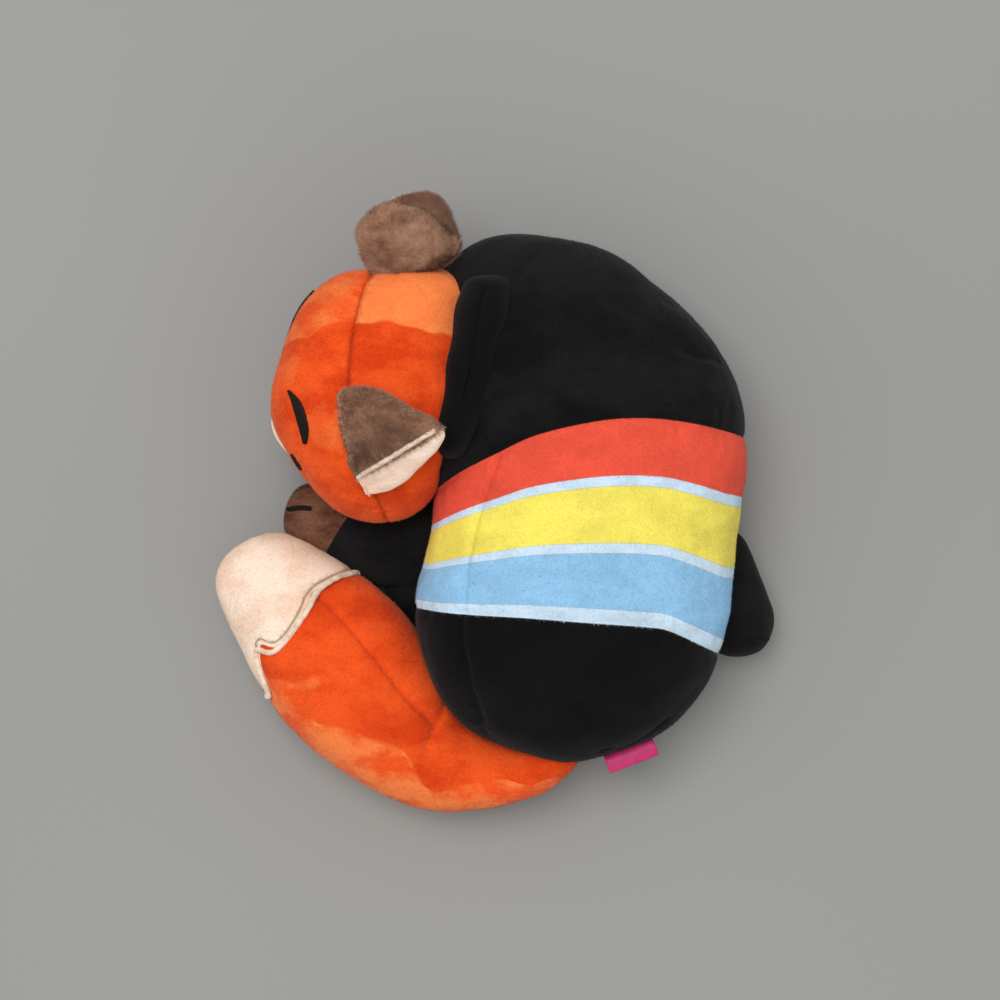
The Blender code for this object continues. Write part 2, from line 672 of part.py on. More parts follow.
def build_ear(label, parts, cutters, head, root, joint, swing, directions, sizes, taper, divide):
    """A stuffed ear: a brown back and a cream lining, sewn along its edge."""
    base, rise, out = ear_axes(*directions)
    length, width, thickness = sizes
    start = Vector(root) - rise * EAR_ROOT_DEPTH
    last = len(taper) - 1
    path = [start + rise * ((length + EAR_ROOT_DEPTH) * row / last) for row in range(len(taper))]
    widths = [width / 2 * share for share in taper]
    heights = [thickness / 2 * share for share in taper]
    form = Limb(path, widths, heights, EAR_TIP_ROUND, EAR_DETAIL, across=base, blunt_start=True)
    seats = [add(head.mesh(-GAP), f"ear_{label}_seat", cutters)]
    seats += swing_reliefs(f"ear_{label}", cutters, head, joint, swing)
    along, (base_share, rise_share, out_share) = divide
    split = (base * base_share + rise * rise_share + out * out_share).normalized()
    level = split.orthogonal().normalized()
    turn = Matrix((split, level, split.cross(level))).transposed()
    edge = Vector(root) + base * along
    size = length + width
    brown = fabric(f"brown_pile_{label}", BROWN)
    cream = fabric(f"cream_lining_{label}", CREAM)
    for node, finish, side in (("back", brown, -1), ("lining", cream, 1)):
        piece = add(form.mesh(), f"ear_{label}_{node}", parts, finish)
        for seat in seats:
            carve(piece, seat)
        place = edge + split * (side * (size / 2 - GAP / 2))
        carve(piece, block(f"ear_{label}_{node}_split", cutters, (size, size * 2, size * 2), place, turn))
    hang(parts, f"ear_{label}", joint[0], (f"ear_{label}_back", f"ear_{label}_lining"))


def build_torso(parts, cutters, torso, head, neck, floor):
    """The jersey's three panels round the body's stuffing."""
    halves = (TORSO_WIDTH / 2, TORSO_LENGTH / 2)
    middle = (TORSO_X, TORSO_Y)
    upper_edge = plan(middle, halves, BAND_TOP_SHARES)
    foot_edge = plan(middle, halves, BAND_FOOT_SHARES)

    def run_past(edge):
        return [(edge[0][0] - OVERRUN, edge[0][1])] + edge + [(edge[-1][0] + OVERRUN, edge[-1][1])]

    upper_edge = run_past(upper_edge)
    foot_edge = run_past(foot_edge)
    far = TORSO_Y + TORSO_LENGTH
    near = TORSO_Y - TORSO_LENGTH
    regions = {
        "torso_upper_skin": ([(x, y + GAP) for x, y in upper_edge]
                             + [(upper_edge[-1][0], far), (upper_edge[0][0], far)]),
        "torso_band_skin": upper_edge + foot_edge[::-1],
        "torso_rump_skin": ([(x, y - GAP) for x, y in foot_edge]
                            + [(foot_edge[-1][0], near), (foot_edge[0][0], near)]),
    }
    finishes = (fabric("black_jersey", BLACK), fabric("striped_jersey", RED), fabric("black_rump", BLACK))
    head_seat = add(head.mesh(-GAP), "band_head_seat", cutters)
    cuts_of = {"torso_upper_skin": (neck,), "torso_band_skin": (head_seat,), "torso_rump_skin": ()}
    core = shell_core("torso", cutters, torso, (("head", head),))
    top = TORSO_WIDEST + TORSO_CROWN + OVERRUN
    for (name, outline), finish in zip(regions.items(), finishes):
        cuts = cuts_of[name] + (floor,)
        panel = skin(name, parts, finish, torso, core, cuts)
        carve(panel, wall_prism(f"{name}_region", cutters, outline, -OVERRUN, top), "INTERSECT")
    filling("torso_filling", parts, cutters, fabric("body_wadding", WHITE), torso,
            (("head", head),), (neck,))


def build_hood(parts, torso, cutters, head_side):
    """The jersey's hood, folded down between the head and the shoulders."""
    heights = [HOOD_HEIGHT / 2 * share for share in HOOD_HEIGHT_SHARES]
    widths = [HOOD_THICKNESS / 2 * share for share in HOOD_WIDTH_SHARES]
    path = [(NECK_X + x * HOOD_LENGTH, NECK_Y + y * HOOD_LENGTH, HOOD_MIDDLE) for x, y in HOOD_PATH_SHARES]
    form = Limb(path, widths, heights, HOOD_THICKNESS / 2, HOOD_DETAIL)
    hood = add(form.mesh(), "hood", parts, fabric("black_hood", BLACK))
    carve(hood, add(torso.mesh(-GAP), "hood_seat", cutters))
    carve(hood, head_side)


def build_tail(parts, cutters, tail, torso, floor, joint):
    """The tail's orange skin, its cream tip and its stuffing."""
    orange = fabric("orange_tail_pile", ORANGE)
    cream = fabric("cream_tail_pile", CREAM)
    walls = (("torso", torso),)
    root = limb_plane("tail_root_cut", cutters, tail, TAIL_ROOT_CUT_SHARE, -TAIL_WIDTH / 2)
    core = shell_core("tail", cutters, tail, walls)
    seam = [(TAIL_ROOT_X + x * TAIL_SPAN, TAIL_ROOT_Y + y * TAIL_SPAN) for x, y in TIP_SEAM_SHARES]
    far = TAIL_ROOT_X - TAIL_SPAN - TAIL_WIDTH
    line = [(seam[0][0], seam[0][1] + TAIL_WIDTH)] + seam + [(seam[-1][0], seam[-1][1] - TAIL_WIDTH)]
    corners = [(far, line[-1][1]), (far, line[0][1])]
    tip = [(x - GAP / 2, y + GAP / 2) for x, y in line] + corners
    rest = [(x + GAP / 2, y - GAP / 2) for x, y in line] + corners
    seats = [add(torso.mesh(-GAP), "tail_seat", cutters), root]
    seats += swing_reliefs("tail", cutters, torso, joint, TAIL_SWING)
    top = TAIL_HEIGHT + OVERRUN
    for name, finish, outline, operation, walled in (
            ("tail_skin", orange, rest, "DIFFERENCE", seats),
            ("tail_tip_skin", cream, tip, "INTERSECT", [])):
        piece = add(tail.mesh(), name, parts, finish)
        for cutter in walled + [floor, core]:
            carve(piece, cutter)
        carve(piece, wall_prism(f"{name}_seam", cutters, outline, -OVERRUN, top), operation)
    filling("tail_filling", parts, cutters, fabric("tail_wadding", WHITE), tail, walls, (root,))
    hang(parts, "tail", joint[0], ("tail_skin", "tail_tip_skin", "tail_filling"))


def build_leg(label, parts, cutters, limb, walls, sewn, floor, paw_place=0, paw_walls=()):
    """A stuffed leg: its sleeve, its paw where that shows, and its stuffing."""
    core = shell_core(label, cutters, limb, walls)
    seats = {name: add(wall.mesh(-GAP), f"{label}_seat_{name}", cutters) for name, wall in walls}
    cuts = tuple(seats.values()) + (sewn, floor)
    paw_cuts = tuple(seats[name] for name in paw_walls) + (floor,)
    sleeve_name = f"{label}_sleeve" if paw_place else f"{label}_skin"
    black = fabric(f"black_{sleeve_name}", BLACK)
    sleeve = skin(sleeve_name, parts, black, limb, core, cuts)
    if paw_place:
        beyond = limb_plane(f"{label}_cuff", cutters, limb, paw_place, limb.length)
        carve(sleeve, beyond)
        brown = fabric(f"brown_{label}_paw", BROWN)
        paw = skin(f"{label}_paw", parts, brown, limb, core, paw_cuts)
        carve(paw, limb_plane(f"{label}_wrist", cutters, limb, paw_place, -limb.length, -GAP))
    filling(f"{label}_filling", parts, cutters, fabric(f"{label}_wadding", WHITE), limb,
            walls, (sewn,))


def build_tag(parts, joint):
    """The folded ribbon sewn into the rump seam, left bare."""
    hinge, along = joint
    out = along.cross(Vector((0, 0, 1)))
    surface = bmesh.new()
    bmesh.ops.create_cube(surface, size=1)
    bmesh.ops.scale(surface, verts=surface.verts, vec=(TAG_LENGTH, TAG_REACH, TAG_THICKNESS))
    turn = Matrix((along, -out, Vector((0, 0, 1)))).transposed()
    bmesh.ops.rotate(surface, verts=surface.verts, matrix=turn)
    bmesh.ops.translate(surface, verts=surface.verts, vec=hinge + out * (TAG_CLEARANCE + TAG_REACH / 2))
    add(surface, "tag", parts, fabric("magenta_ribbon", MAGENTA, RIBBON_ROUGHNESS))
    hang(parts, "tag", hinge, ("tag",))


def joint_places():
    """Each joint's place and axis: positive turns lift an ear or the head, or swing a limb outwards."""
    lean = Matrix.Rotation(-NECK_LEAN, 3, "Z")
    near_base, _, near_out = ear_axes(EAR_NEAR_BASE_DIRECTION, EAR_NEAR_RISE_DIRECTION)
    far_base, _, far_out = ear_axes(EAR_FAR_BASE_DIRECTION, EAR_FAR_RISE_DIRECTION)
    upright = Vector((0, 0, 1))
    seam = Vector((math.cos(TAG_HEADING), math.sin(TAG_HEADING), 0))
    return {
        "head": (Vector((NECK_X, NECK_Y, NECK_PIVOT_HEIGHT)), lean @ Vector((0, 1, 0))),
        "ear_near": (Vector(EAR_NEAR_ROOT) + near_out * (EAR_NEAR_THICKNESS / 2), near_base),
        "ear_far": (Vector(EAR_FAR_ROOT) + far_out * (EAR_FAR_THICKNESS / 2), far_base),
        "tail": (Vector((TAIL_PIVOT_X, TAIL_PIVOT_Y, 0)), upright),
        "hind": (Vector((HIP_PIVOT_X, HIP_PIVOT_Y, 0)), upright),
        "tag": (torso_form().point(TAG_TURN, 0, -GAP), seam),
    }


def main():
    clear_scene()
    parts = collection(PARTS)
    cutters = collection(CUTTERS)
    head = head_form()
    torso = torso_form()
    tail = tail_form()
    near_leg = near_leg_form()
    far_leg = far_leg_form()
    hind_leg = hind_leg_form()
    inner_leg = inner_leg_form()
    reach = TORSO_LENGTH + HEAD_WIDTH
    level = Matrix.Identity(3)
    floor = block("floor_cut", cutters, (reach * 2, reach * 2, reach), (0, 0, -reach / 2), level)
    lean = Matrix.Rotation(-NECK_LEAN, 3, "Z")
    offset = lean @ Vector((reach / 2 - GAP / 2, 0, 0))
    neck = Vector((NECK_X, NECK_Y, 0))
    cube = (reach, reach, reach)
    body_side = block("neck_body_side", cutters, cube, neck + offset, lean)
    head_side = block("neck_head_side", cutters, cube, neck - offset, lean)
    joints = joint_places()

    build_head(parts, cutters, head, body_side)
    build_ear("near", parts, cutters, head, EAR_NEAR_ROOT, joints["ear_near"], EAR_NEAR_LIFT,
              (EAR_NEAR_BASE_DIRECTION, EAR_NEAR_RISE_DIRECTION),
              (EAR_NEAR_LENGTH, EAR_NEAR_BASE, EAR_NEAR_THICKNESS), EAR_NEAR_TAPER_SHARES, EAR_NEAR_SPLIT)
    build_ear("far", parts, cutters, head, EAR_FAR_ROOT, joints["ear_far"], EAR_FAR_LIFT,
              (EAR_FAR_BASE_DIRECTION, EAR_FAR_RISE_DIRECTION),
              (EAR_FAR_LENGTH, EAR_FAR_BASE, EAR_FAR_THICKNESS), EAR_FAR_TAPER_SHARES, EAR_FAR_SPLIT)
    build_torso(parts, cutters, torso, head, head_side, floor)
    build_hood(parts, torso, cutters, head_side)
    build_tail(parts, cutters, tail, torso, floor, joints["tail"])
    torso_seat = add(torso.mesh(-GAP), "leg_seat_torso", cutters)
    build_leg("near_foreleg", parts, cutters, near_leg, (("head", head), ("tail", tail)), torso_seat, floor,
              NEAR_PAW_SHARE, ("head", "tail"))
    build_leg("far_foreleg", parts, cutters, far_leg, (("head", head),), torso_seat, floor,
              FAR_PAW_SHARE, ("head",))
    hip = limb_plane("outer_hip_cut", cutters, hind_leg, HIP_CUT_SHARE, -HIND_LEG_WIDTH)
    build_leg("outer_hind_leg", parts, cutters, hind_leg, (("torso", torso),), hip, floor)
    for relief in swing_reliefs("outer_hind_leg", cutters, torso, joints["hind"], HIND_SWING):
        carve(bpy.data.objects["outer_hind_leg_skin"], relief)
    inner_hip = limb_plane("inner_hip_cut", cutters, inner_leg, HIP_CUT_SHARE, -INNER_LEG_WIDTH)
    build_leg("inner_hind_leg", parts, cutters, inner_leg, (("torso", torso), ("tail", tail)), inner_hip,
              floor)
    for name, limb, (place, turn_from, turn_to) in (
            ("near_toe_stitch", near_leg, NEAR_TOE_PLACE), ("far_toe_stitch", far_leg, FAR_TOE_PLACE),
            ("hind_toe_stitch", hind_leg, HIND_TOE_PLACE)):
        thread = fabric(f"{name}_thread", BLACK, THREAD_ROUGHNESS)
        toe_stitch(name, parts, thread, limb, place, turn_from, turn_to)
    hang(parts, "outer_hind_leg", joints["hind"][0],
         ("outer_hind_leg_skin", "outer_hind_leg_filling", "hind_toe_stitch"))
    build_tag(parts, joints["tag"])


main()
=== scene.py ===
"""The looks of a curled, sleeping plush fox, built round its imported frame.

Lengths are in metres, in the frame of the part: +X from the face towards the back, +Z up.
"""

import json
import math

import bmesh
import bpy
import numpy as np
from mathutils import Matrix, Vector
from mathutils.bvhtree import BVHTree


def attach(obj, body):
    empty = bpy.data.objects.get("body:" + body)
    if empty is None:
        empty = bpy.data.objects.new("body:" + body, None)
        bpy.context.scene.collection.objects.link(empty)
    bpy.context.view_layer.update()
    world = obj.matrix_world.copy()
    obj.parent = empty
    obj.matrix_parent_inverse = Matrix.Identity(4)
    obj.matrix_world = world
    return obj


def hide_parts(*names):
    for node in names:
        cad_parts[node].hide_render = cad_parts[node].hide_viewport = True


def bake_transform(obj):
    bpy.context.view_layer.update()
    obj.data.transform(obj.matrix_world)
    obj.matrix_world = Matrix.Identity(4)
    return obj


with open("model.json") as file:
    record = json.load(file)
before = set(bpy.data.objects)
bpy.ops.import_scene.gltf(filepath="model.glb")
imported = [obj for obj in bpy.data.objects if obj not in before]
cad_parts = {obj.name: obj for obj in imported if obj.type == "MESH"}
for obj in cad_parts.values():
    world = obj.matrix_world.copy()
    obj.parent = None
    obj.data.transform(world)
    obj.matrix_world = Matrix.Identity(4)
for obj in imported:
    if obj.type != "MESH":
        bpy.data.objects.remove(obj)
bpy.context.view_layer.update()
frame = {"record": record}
JOINTS = {joint["name"]: joint for joint in frame["record"]["behaviour"]["joints"]}

# The camera looks straight down; PITCH is the width of a pixel at the height PLANE
CAMERA = Vector((0.00164, 0.00336, 0.90))
PLANE = 0.05
PITCH = 0.000375
IMAGE = 1000
SENSOR = 36.0
LAMP = Vector((-0.45, 0.55, 2.3))
FLOOR_REACH, FLOOR_HEIGHT = 4, -0.0002

# Sizes and places of the part's forms
HEAD = (-0.0485, 0.0427, 0.0465)
TORSO = (0.0359, 0.0071, 0.037)
NECK = Vector((-0.0158, 0.0462, 0))
NECK_LEAN = math.radians(8)
TAIL_ROOT = (0.0249, -0.0984)
NEAR_SHOULDER = (-0.0093, 0.0033)
FAR_SHOULDER = (-0.0128, 0.0908)
HIP = (0.0807, -0.0092)
INNER_HIP = (-0.0305, -0.0282)
EAR_NEAR_ROOT = (-0.0443, 0.0240, 0.0765)
EAR_FAR_ROOT = (-0.0328, 0.0913, 0.0560)
NEAR_EAR_RAISE = 0.004
FAR_EAR_SHIFT = (0.0043, 0.0015)
FLOOR_CUT = 0.0005
HEAD_HALVES, HEAD_CROWN, HEAD_DROP = (0.03725, 0.05), 0.033, 0.030
TORSO_HALVES, TORSO_CROWN, TORSO_DROP = (0.06125, 0.10175), 0.043, 0.0375
TAIL_SPAN, TAIL_WIDTH, TAIL_HEIGHT, TAIL_ROUND = 0.1235, 0.065, 0.050, 0.016
TAIL_RADIUS = 0.027
LEG_ROUND = 0.013
NEAR_LEG_SPAN, NEAR_LEG_WIDTH = 0.072, 0.032
FAR_LEG_SPAN, FAR_LEG_WIDTH, FAR_LEG_HEIGHT = 0.062, 0.028, 0.030
HIND_LEG_SPAN, HIND_LEG_WIDTH = 0.049, 0.031
INNER_LEG_SPAN, INNER_LEG_WIDTH = 0.038, 0.020
HOOD_LENGTH, HOOD_THICKNESS, HOOD_HEIGHT, HOOD_LIFT = 0.072, 0.013, 0.034, 0.062
TAG_REACH, TAG_LENGTH, TAG_FOLD = 0.0054, 0.020, 0.00035
TAG_HEADING = math.radians(21)
PRESSURE = 12
SIM_FRAMES = 20
STITCH_PITCH, STITCH_SINK = 0.00035, 0.0006
TOE_PROFILE = (0.8, 1.0, 1.0, 1.0, 0.8)
EAR_FIBRE, PAW_FIBRE = (0.0024, 0.00030), (0.0016, 0.00026)
SKIN_FIBRE, JERSEY_FIBRE = (0.0014, 0.00024), (0.0012, 0.00022)
LOOSE_SAG, FLAT_SAG = 1.3, 2.4
BAND_WIDTH = 0.064

HEAD_OUTLINE_SHARES = (
    (-0.97, -0.04), (-0.99, -0.18), (-0.94, -0.29), (-0.82, -0.43), (-0.69, -0.58), (-0.51, -0.75),
    (-0.28, -0.91), (-0.03, -0.98), (0.19, -0.99), (0.48, -0.91), (0.80, -0.66), (1.04, -0.28),
    (1.17, 0.10), (1.20, 0.50), (1.02, 0.88), (0.66, 1.00), (0.33, 1.00), (-0.04, 0.96),
    (-0.34, 0.91), (-0.60, 0.77), (-0.78, 0.54), (-0.90, 0.24),
)
TORSO_OUTLINE_SHARES = (
    (0.97, 0.19), (0.94, 0.36), (0.87, 0.48), (0.73, 0.61), (0.52, 0.73), (0.28, 0.83), (0.04, 0.92),
    (-0.33, 0.96), (-0.66, 0.95), (-0.88, 0.88), (-0.96, 0.70), (-1.00, 0.48), (-1.01, 0.26),
    (-1.00, 0.06), (-1.00, -0.12), (-1.04, -0.28), (-1.09, -0.42), (-1.07, -0.56), (-0.99, -0.71),
    (-0.83, -0.85), (-0.56, -0.96), (-0.19, -1.03), (0.09, -1.00), (0.42, -0.93), (0.65, -0.81),
    (0.77, -0.70), (0.82, -0.60), (0.87, -0.39), (0.92, -0.20), (0.96, -0.01),
)
BAND_TOP_SHARES = (
    (-1.00, -0.02), (-0.81, 0.06), (-0.58, 0.13), (-0.34, 0.195), (0.03, 0.245), (0.33, 0.255),
    (0.63, 0.235), (0.97, 0.19),
)
BAND_FOOT_SHARES = (
    (-1.10, -0.435), (-0.81, -0.45), (-0.43, -0.46), (0.03, -0.48), (0.33, -0.495), (0.48, -0.515),
    (0.80, -0.61),
)
TAIL_PATH_SHARES = (
    (0.06, 0.07), (-0.11, -0.02), (-0.27, -0.02), (-0.43, 0.04), (-0.57, 0.175), (-0.675, 0.30),
    (-0.775, 0.42), (-0.862, 0.518), (-0.937, 0.605), (-0.99, 0.69),
)
TAIL_WIDTH_SHARES = (0.30, 0.36, 0.54, 0.75, 0.95, 1.00, 0.92, 0.79, 0.66, 0.50)
TAIL_HEIGHT_SHARES = (0.44, 0.50, 0.66, 0.82, 0.96, 1.00, 0.94, 0.84, 0.68, 0.50)
TAIL_LIFT_SHARES = (0.17, 0.13, 0.05, 0.01, 0, 0, 0, 0, 0, 0)
NEAR_LEG_PATH_SHARES = ((0.00, 0.00), (-0.18, -0.17), (-0.37, -0.25), (-0.60, -0.22), (-0.80, -0.11),
                        (-1.01, -0.06))
NEAR_LEG_WIDTH_SHARES = (0.96, 1.00, 1.00, 0.96, 0.90, 0.84)
FAR_LEG_PATH_SHARES = ((0.10, 0.06), (-0.10, -0.16), (-0.34, -0.38), (-0.58, -0.58), (-0.86, -0.72))
FAR_LEG_WIDTH_SHARES = (1.00, 1.00, 1.00, 0.98, 0.92)
FAR_LEG_HEIGHT_SHARES = (1.15, 0.80, 0.54, 0.50, 0.48)
HIND_LEG_PATH_SHARES = ((0.00, 0.00), (0.13, -0.26), (0.24, -0.58), (0.30, -1.00))
HIND_LEG_WIDTH_SHARES = (0.84, 0.90, 1.00, 1.00)
INNER_LEG_PATH_SHARES = ((-0.18, 0.10), (0.02, -0.36), (0.20, -0.70), (0.38, -1.00))
INNER_LEG_WIDTH_SHARES = (1.00, 1.00, 0.94, 0.86)
HOOD_PATH_SHARES = ((0.18, 0.56), (0.155, 0.39), (0.11, 0.20), (0.06, 0.00), (0.015, -0.20), (-0.02, -0.38))
HOOD_WIDTH_SHARES = (1.35, 1.60, 1.55, 1.40, 1.15, 0.85)
HOOD_HEIGHT_SHARES = (0.80, 1.00, 1.00, 1.00, 0.95, 0.80)

# Seam lines by their pixels in the picture's frame; each is laid on the form it belongs to
CROWN_SEAM = ((375, 262), (370, 276), (364, 287), (355, 321), (350, 352), (349, 390), (352, 440),
              (364, 478), (378, 502), (387, 524))
SIDE_SEAM = ((497, 457), (484, 491), (473, 526), (468, 545), (463, 570), (461, 608), (461, 636),
             (466, 667), (473, 698), (484, 731))
TIP_SEAM = ((373, 552), (357, 570), (334, 579), (314, 593), (303, 615), (289, 637), (275, 648), (259, 645),
            (262, 668), (271, 694))
TAIL_SEAM = ((314, 593), (332, 607), (354, 632), (379, 661), (405, 695), (432, 721))
SHOULDER_CREASE = ((532, 258), (524, 267), (514, 280))
BACK_CREASE = ((684, 352), (700, 357), (719, 360))
RUMP_CREASE = ((604, 756), (640, 742), (670, 722))
TAIL_ROOT_CREASE = ((446, 705), (440, 722), (428, 748))
HOOD_FOLD = ((484, 288), (479, 310), (478, 322), (474, 350), (468, 400))
# Edge of the head's lighter pile: painted sheen past it, where the nap lies the other way
NAP_SHEEN_EDGE = ((286, 344), (310, 335), (340, 322), (375, 322), (396, 324), (420, 329), (450, 336))
EYE_HOLLOW = ((300, 398), (304, 424), (305, 446))
FAR_EAR_CREASE = ((396, 200), (402, 203), (418, 207), (432, 216), (445, 225), (456, 236))
NEAR_EAR_FOLD = ((352, 462), (372, 450), (388, 434), (400, 436))
NEAR_EAR_ROLL = ((436, 430), (424, 437), (406, 448), (385, 461), (366, 472), (357, 478))
NEAR_EYE = ((289, 391), (296, 403), (301, 416), (304, 430), (305, 443))
MOUTH = ((292, 454), (296, 461), (301, 469))
NEAR_TOE = ((290, 510), (301, 508), (312, 509))


def linear(red, green, blue):
    """A colour written as a screen shows it, in the shader's own scale."""
    return tuple((value / 255 / 12.92) if value <= 10 else ((value / 255 + 0.055) / 1.055) ** 2.4
                 for value in (red, green, blue))


ORANGE = linear(238, 86, 28)
ORANGE_DEEP = linear(216, 64, 13)
ORANGE_LIGHT = linear(250, 140, 74)
CREAM = linear(250, 228, 208)
CREAM_DEEP = linear(242, 210, 186)
BROWN = linear(176, 132, 106)
BROWN_DEEP = linear(142, 100, 78)
BROWN_LIGHT = linear(206, 166, 140)
PAW = linear(124, 82, 62)
PAW_DEEP = linear(92, 56, 40)
PAW_LIGHT = linear(150, 108, 86)
BLACK = linear(21, 20, 21)
BLACK_DEEP = linear(8, 8, 9)
RED = linear(232, 84, 62)
YELLOW = linear(243, 228, 98)
BLUE = linear(146, 196, 232)
PALE = linear(205, 226, 242)
MAGENTA = linear(200, 40, 108)
THREAD = linear(21, 14, 12)


# Curves, forms and their meshes
def curve(table, places):
    """A smooth curve through the rows of a table, at places from 0 to 1."""
    rows = np.asarray(table, float)
    last = len(rows) - 1
    spot = np.clip(np.asarray(places, float), 0, 1) * last
    row = np.minimum(spot.astype(int), last - 1)
    step = spot - row
    if rows.ndim > 1:
        step = step[:, None]
    before, start = rows[np.maximum(row - 1, 0)], rows[row]
    end, after = rows[row + 1], rows[np.minimum(row + 2, last)]
    return (start + (end - before) * (step / 2)
            + (before * 2 - start * 5 + end * 4 - after) * (step ** 2 / 2)
            + (start * 3 - before - end * 3 + after) * (step ** 3 / 2))


def unit(vectors):
    """The vectors at length 1."""
    return vectors / np.maximum(np.linalg.norm(vectors, axis=-1, keepdims=True), 1e-12)


def bell(gap, width):
    """1 where the gap is 0, easing to 0 over the given width."""
    return np.exp(-(gap / width) ** 2)


def smoothed(values, reach, width):
    """Values round a closed loop, with their corners eased."""
    kernel = bell(np.arange(-reach, reach + 1), width)
    wrapped = np.concatenate([values[-reach:], values, values[:reach]])
    return np.convolve(wrapped, kernel / kernel.sum(), "valid")


def fog(points, scale, seed):
    """Smooth random values, about -1 to 1, with lumps of the given size."""
    rng = np.random.default_rng(seed)
    total = np.zeros(len(points))
    for _ in range(9):
        wave = rng.normal(size=3)
        wave = wave / np.linalg.norm(wave) * math.tau / (scale * rng.uniform(1.2, 2.6))
        total += np.sin(points @ wave + rng.uniform(0, math.tau))
    return total / 3


def cube_ball(count):
    """Directions and faces of a ball made of six square grids."""
    spots, faces = {}, []
    for axis in range(3):
        for sign in (-1, 1):
            grid = {}
            for row in range(count + 1):
                for col in range(count + 1):
                    a = math.tan((row / count - 0.5) * math.pi / 2)
                    b = math.tan((col / count - 0.5) * math.pi / 2)
                    spot = [0, 0, 0]
                    spot[axis], spot[(axis + 1) % 3], spot[(axis + 2) % 3] = sign, a * sign, b
                    key = tuple(round(value, 6) + 0.0 for value in Vector(spot).normalized())
                    grid[row, col] = spots.setdefault(key, len(spots))
            for row in range(count):
                for col in range(count):
                    faces.append((grid[row, col], grid[row + 1, col],
                                  grid[row + 1, col + 1], grid[row, col + 1]))
    return np.array(list(spots)), faces


class Puff:
    """A stuffed body with an outline, a crown and an underside."""

    def __init__(self, middle, halves, outline, crown, drop, fullness):
        self.middle = np.array(middle)
        self.crown, self.drop, self.power = crown, drop, 2 / fullness
        spots = np.array(outline) * halves
        angles = np.arctan2(spots[:, 1], spots[:, 0]) % math.tau
        order = np.argsort(angles)
        reach = np.linalg.norm(spots, axis=1)[order]
        dense = np.linspace(0, math.tau, 720, endpoint=False)
        radius = np.interp(dense, angles[order], reach, period=math.tau)
        self.dense, self.radii = dense, smoothed(radius, 20, 8.0)

    def points(self, angle, lift, inset=0):
        """Points of the skin at angles round it and lifts from its widest line."""
        reach = np.interp(angle % math.tau, self.dense, self.radii, period=math.tau) - inset
        flat = np.maximum(np.cos(lift), 0) ** self.power
        rise = np.abs(np.sin(lift)) ** self.power
        height = np.where(lift < 0, -(self.drop - inset) * rise, (self.crown - inset) * rise)
        flat = reach * flat
        return self.middle + np.stack([flat * np.cos(angle), flat * np.sin(angle), height], -1)

    def mesh(self, count, inset=0):
        """Points and faces of the skin, drawn in by the inset."""
        ways, faces = cube_ball(count)
        return self.points(np.arctan2(ways[:, 1], ways[:, 0]), np.arcsin(ways[:, 2]), inset), faces


class Limb:
    """A stuffed limb: oval sections along a smooth path, with rounded ends."""

    def __init__(self, path, widths, heights, end_round, across=None, blunt_start=False):
        self.path, self.widths, self.heights = np.array(path, float), np.array(widths), np.array(heights)
        self.end_round, self.across, self.blunt_start = end_round, across, blunt_start
        steps = curve(self.path, np.linspace(0, 1, 61))
        self.length = np.linalg.norm(np.diff(steps, axis=0), axis=1).sum()

    def frames(self, place):
        """The middle of the limb at each place, and its two ways across."""
        ahead, behind = np.minimum(place + 0.01, 1), np.maximum(place - 0.01, 0)
        along = unit(curve(self.path, ahead) - curve(self.path, behind))
        if self.across is None:
            side = unit(np.cross(np.array([0, 0, 1.0]), along))
        else:
            side = unit(self.across - along * (along @ self.across)[:, None])
        return curve(self.path, place), side, np.cross(along, side)

    def points(self, place, turn, inset=0):
        """Points of the skin; place and turn are arrays of one length."""
        middle, side, up = self.frames(place)
        from_end = (1 - place) * self.length
        if not self.blunt_start:
            from_end = np.minimum(from_end, place * self.length)
        closing = np.clip((from_end - inset) / self.end_round, 0, 1)
        narrowing = np.sqrt(np.maximum(1 - (1 - closing) ** 2, 0))
        width = ((curve(self.widths, place) - inset) * narrowing)[:, None]
        height = ((curve(self.heights, place) - inset) * narrowing)[:, None]
        return middle + side * width * np.cos(turn)[:, None] + up * height * np.sin(turn)[:, None]

    def mesh(self, around, along, inset=0):
        """Points and faces of the skin, in rows along the limb."""
        rows = (1 - np.cos(np.pi * np.arange(1, along) / along)) / 2
        place = np.repeat(rows, around)
        turn = np.tile(math.tau * np.arange(around) / around, along - 1)
        body = self.points(place, turn, inset)
        ends = curve(self.path, np.array([inset / self.length, 1 - inset / self.length]))
        first, last = len(body), len(body) + 1
        faces = []
        for step in range(around):
            beside = (step + 1) % around
            top = (along - 2) * around
            faces.append((first, beside, step))
            faces.append((last, top + step, top + beside))
            for row in range(along - 2):
                low, high = row * around, (row + 1) * around
                faces.append((low + step, low + beside, high + beside, high + step))
        return np.vstack([body, ends]), faces


def floor_limb(root, span, path, widths, heights, end_round, lifts=None):
    """A limb that lies on the floor."""
    lifts = lifts or [0] * len(path)
    spots = [(root[0] + x * span, root[1] + y * span, height - FLOOR_CUT + lift * span)
             for (x, y), height, lift in zip(path, heights, lifts)]
    return Limb(spots, widths, heights, end_round)


def shares(size, rows):
    """Half sizes from shares of a whole size."""
    return [size / 2 * share for share in rows]


def tube_faces(around, rings):
    """Faces of a tube made of rings of points, with both ends shut."""
    faces = []
    for ring in range(rings - 1):
        low, high = ring * around, (ring + 1) * around
        for step in range(around):
            beside = (step + 1) % around
            faces.append((low + step, low + beside, high + beside, high + step))
    faces.append(tuple(range(around)))
    faces.append(tuple(range((rings - 1) * around, rings * around)))
    return faces


def added(name, data):
    """An object of the data, added to the scene."""
    thing = bpy.data.objects.new(name, data)
    bpy.context.scene.collection.objects.link(thing)
    return thing


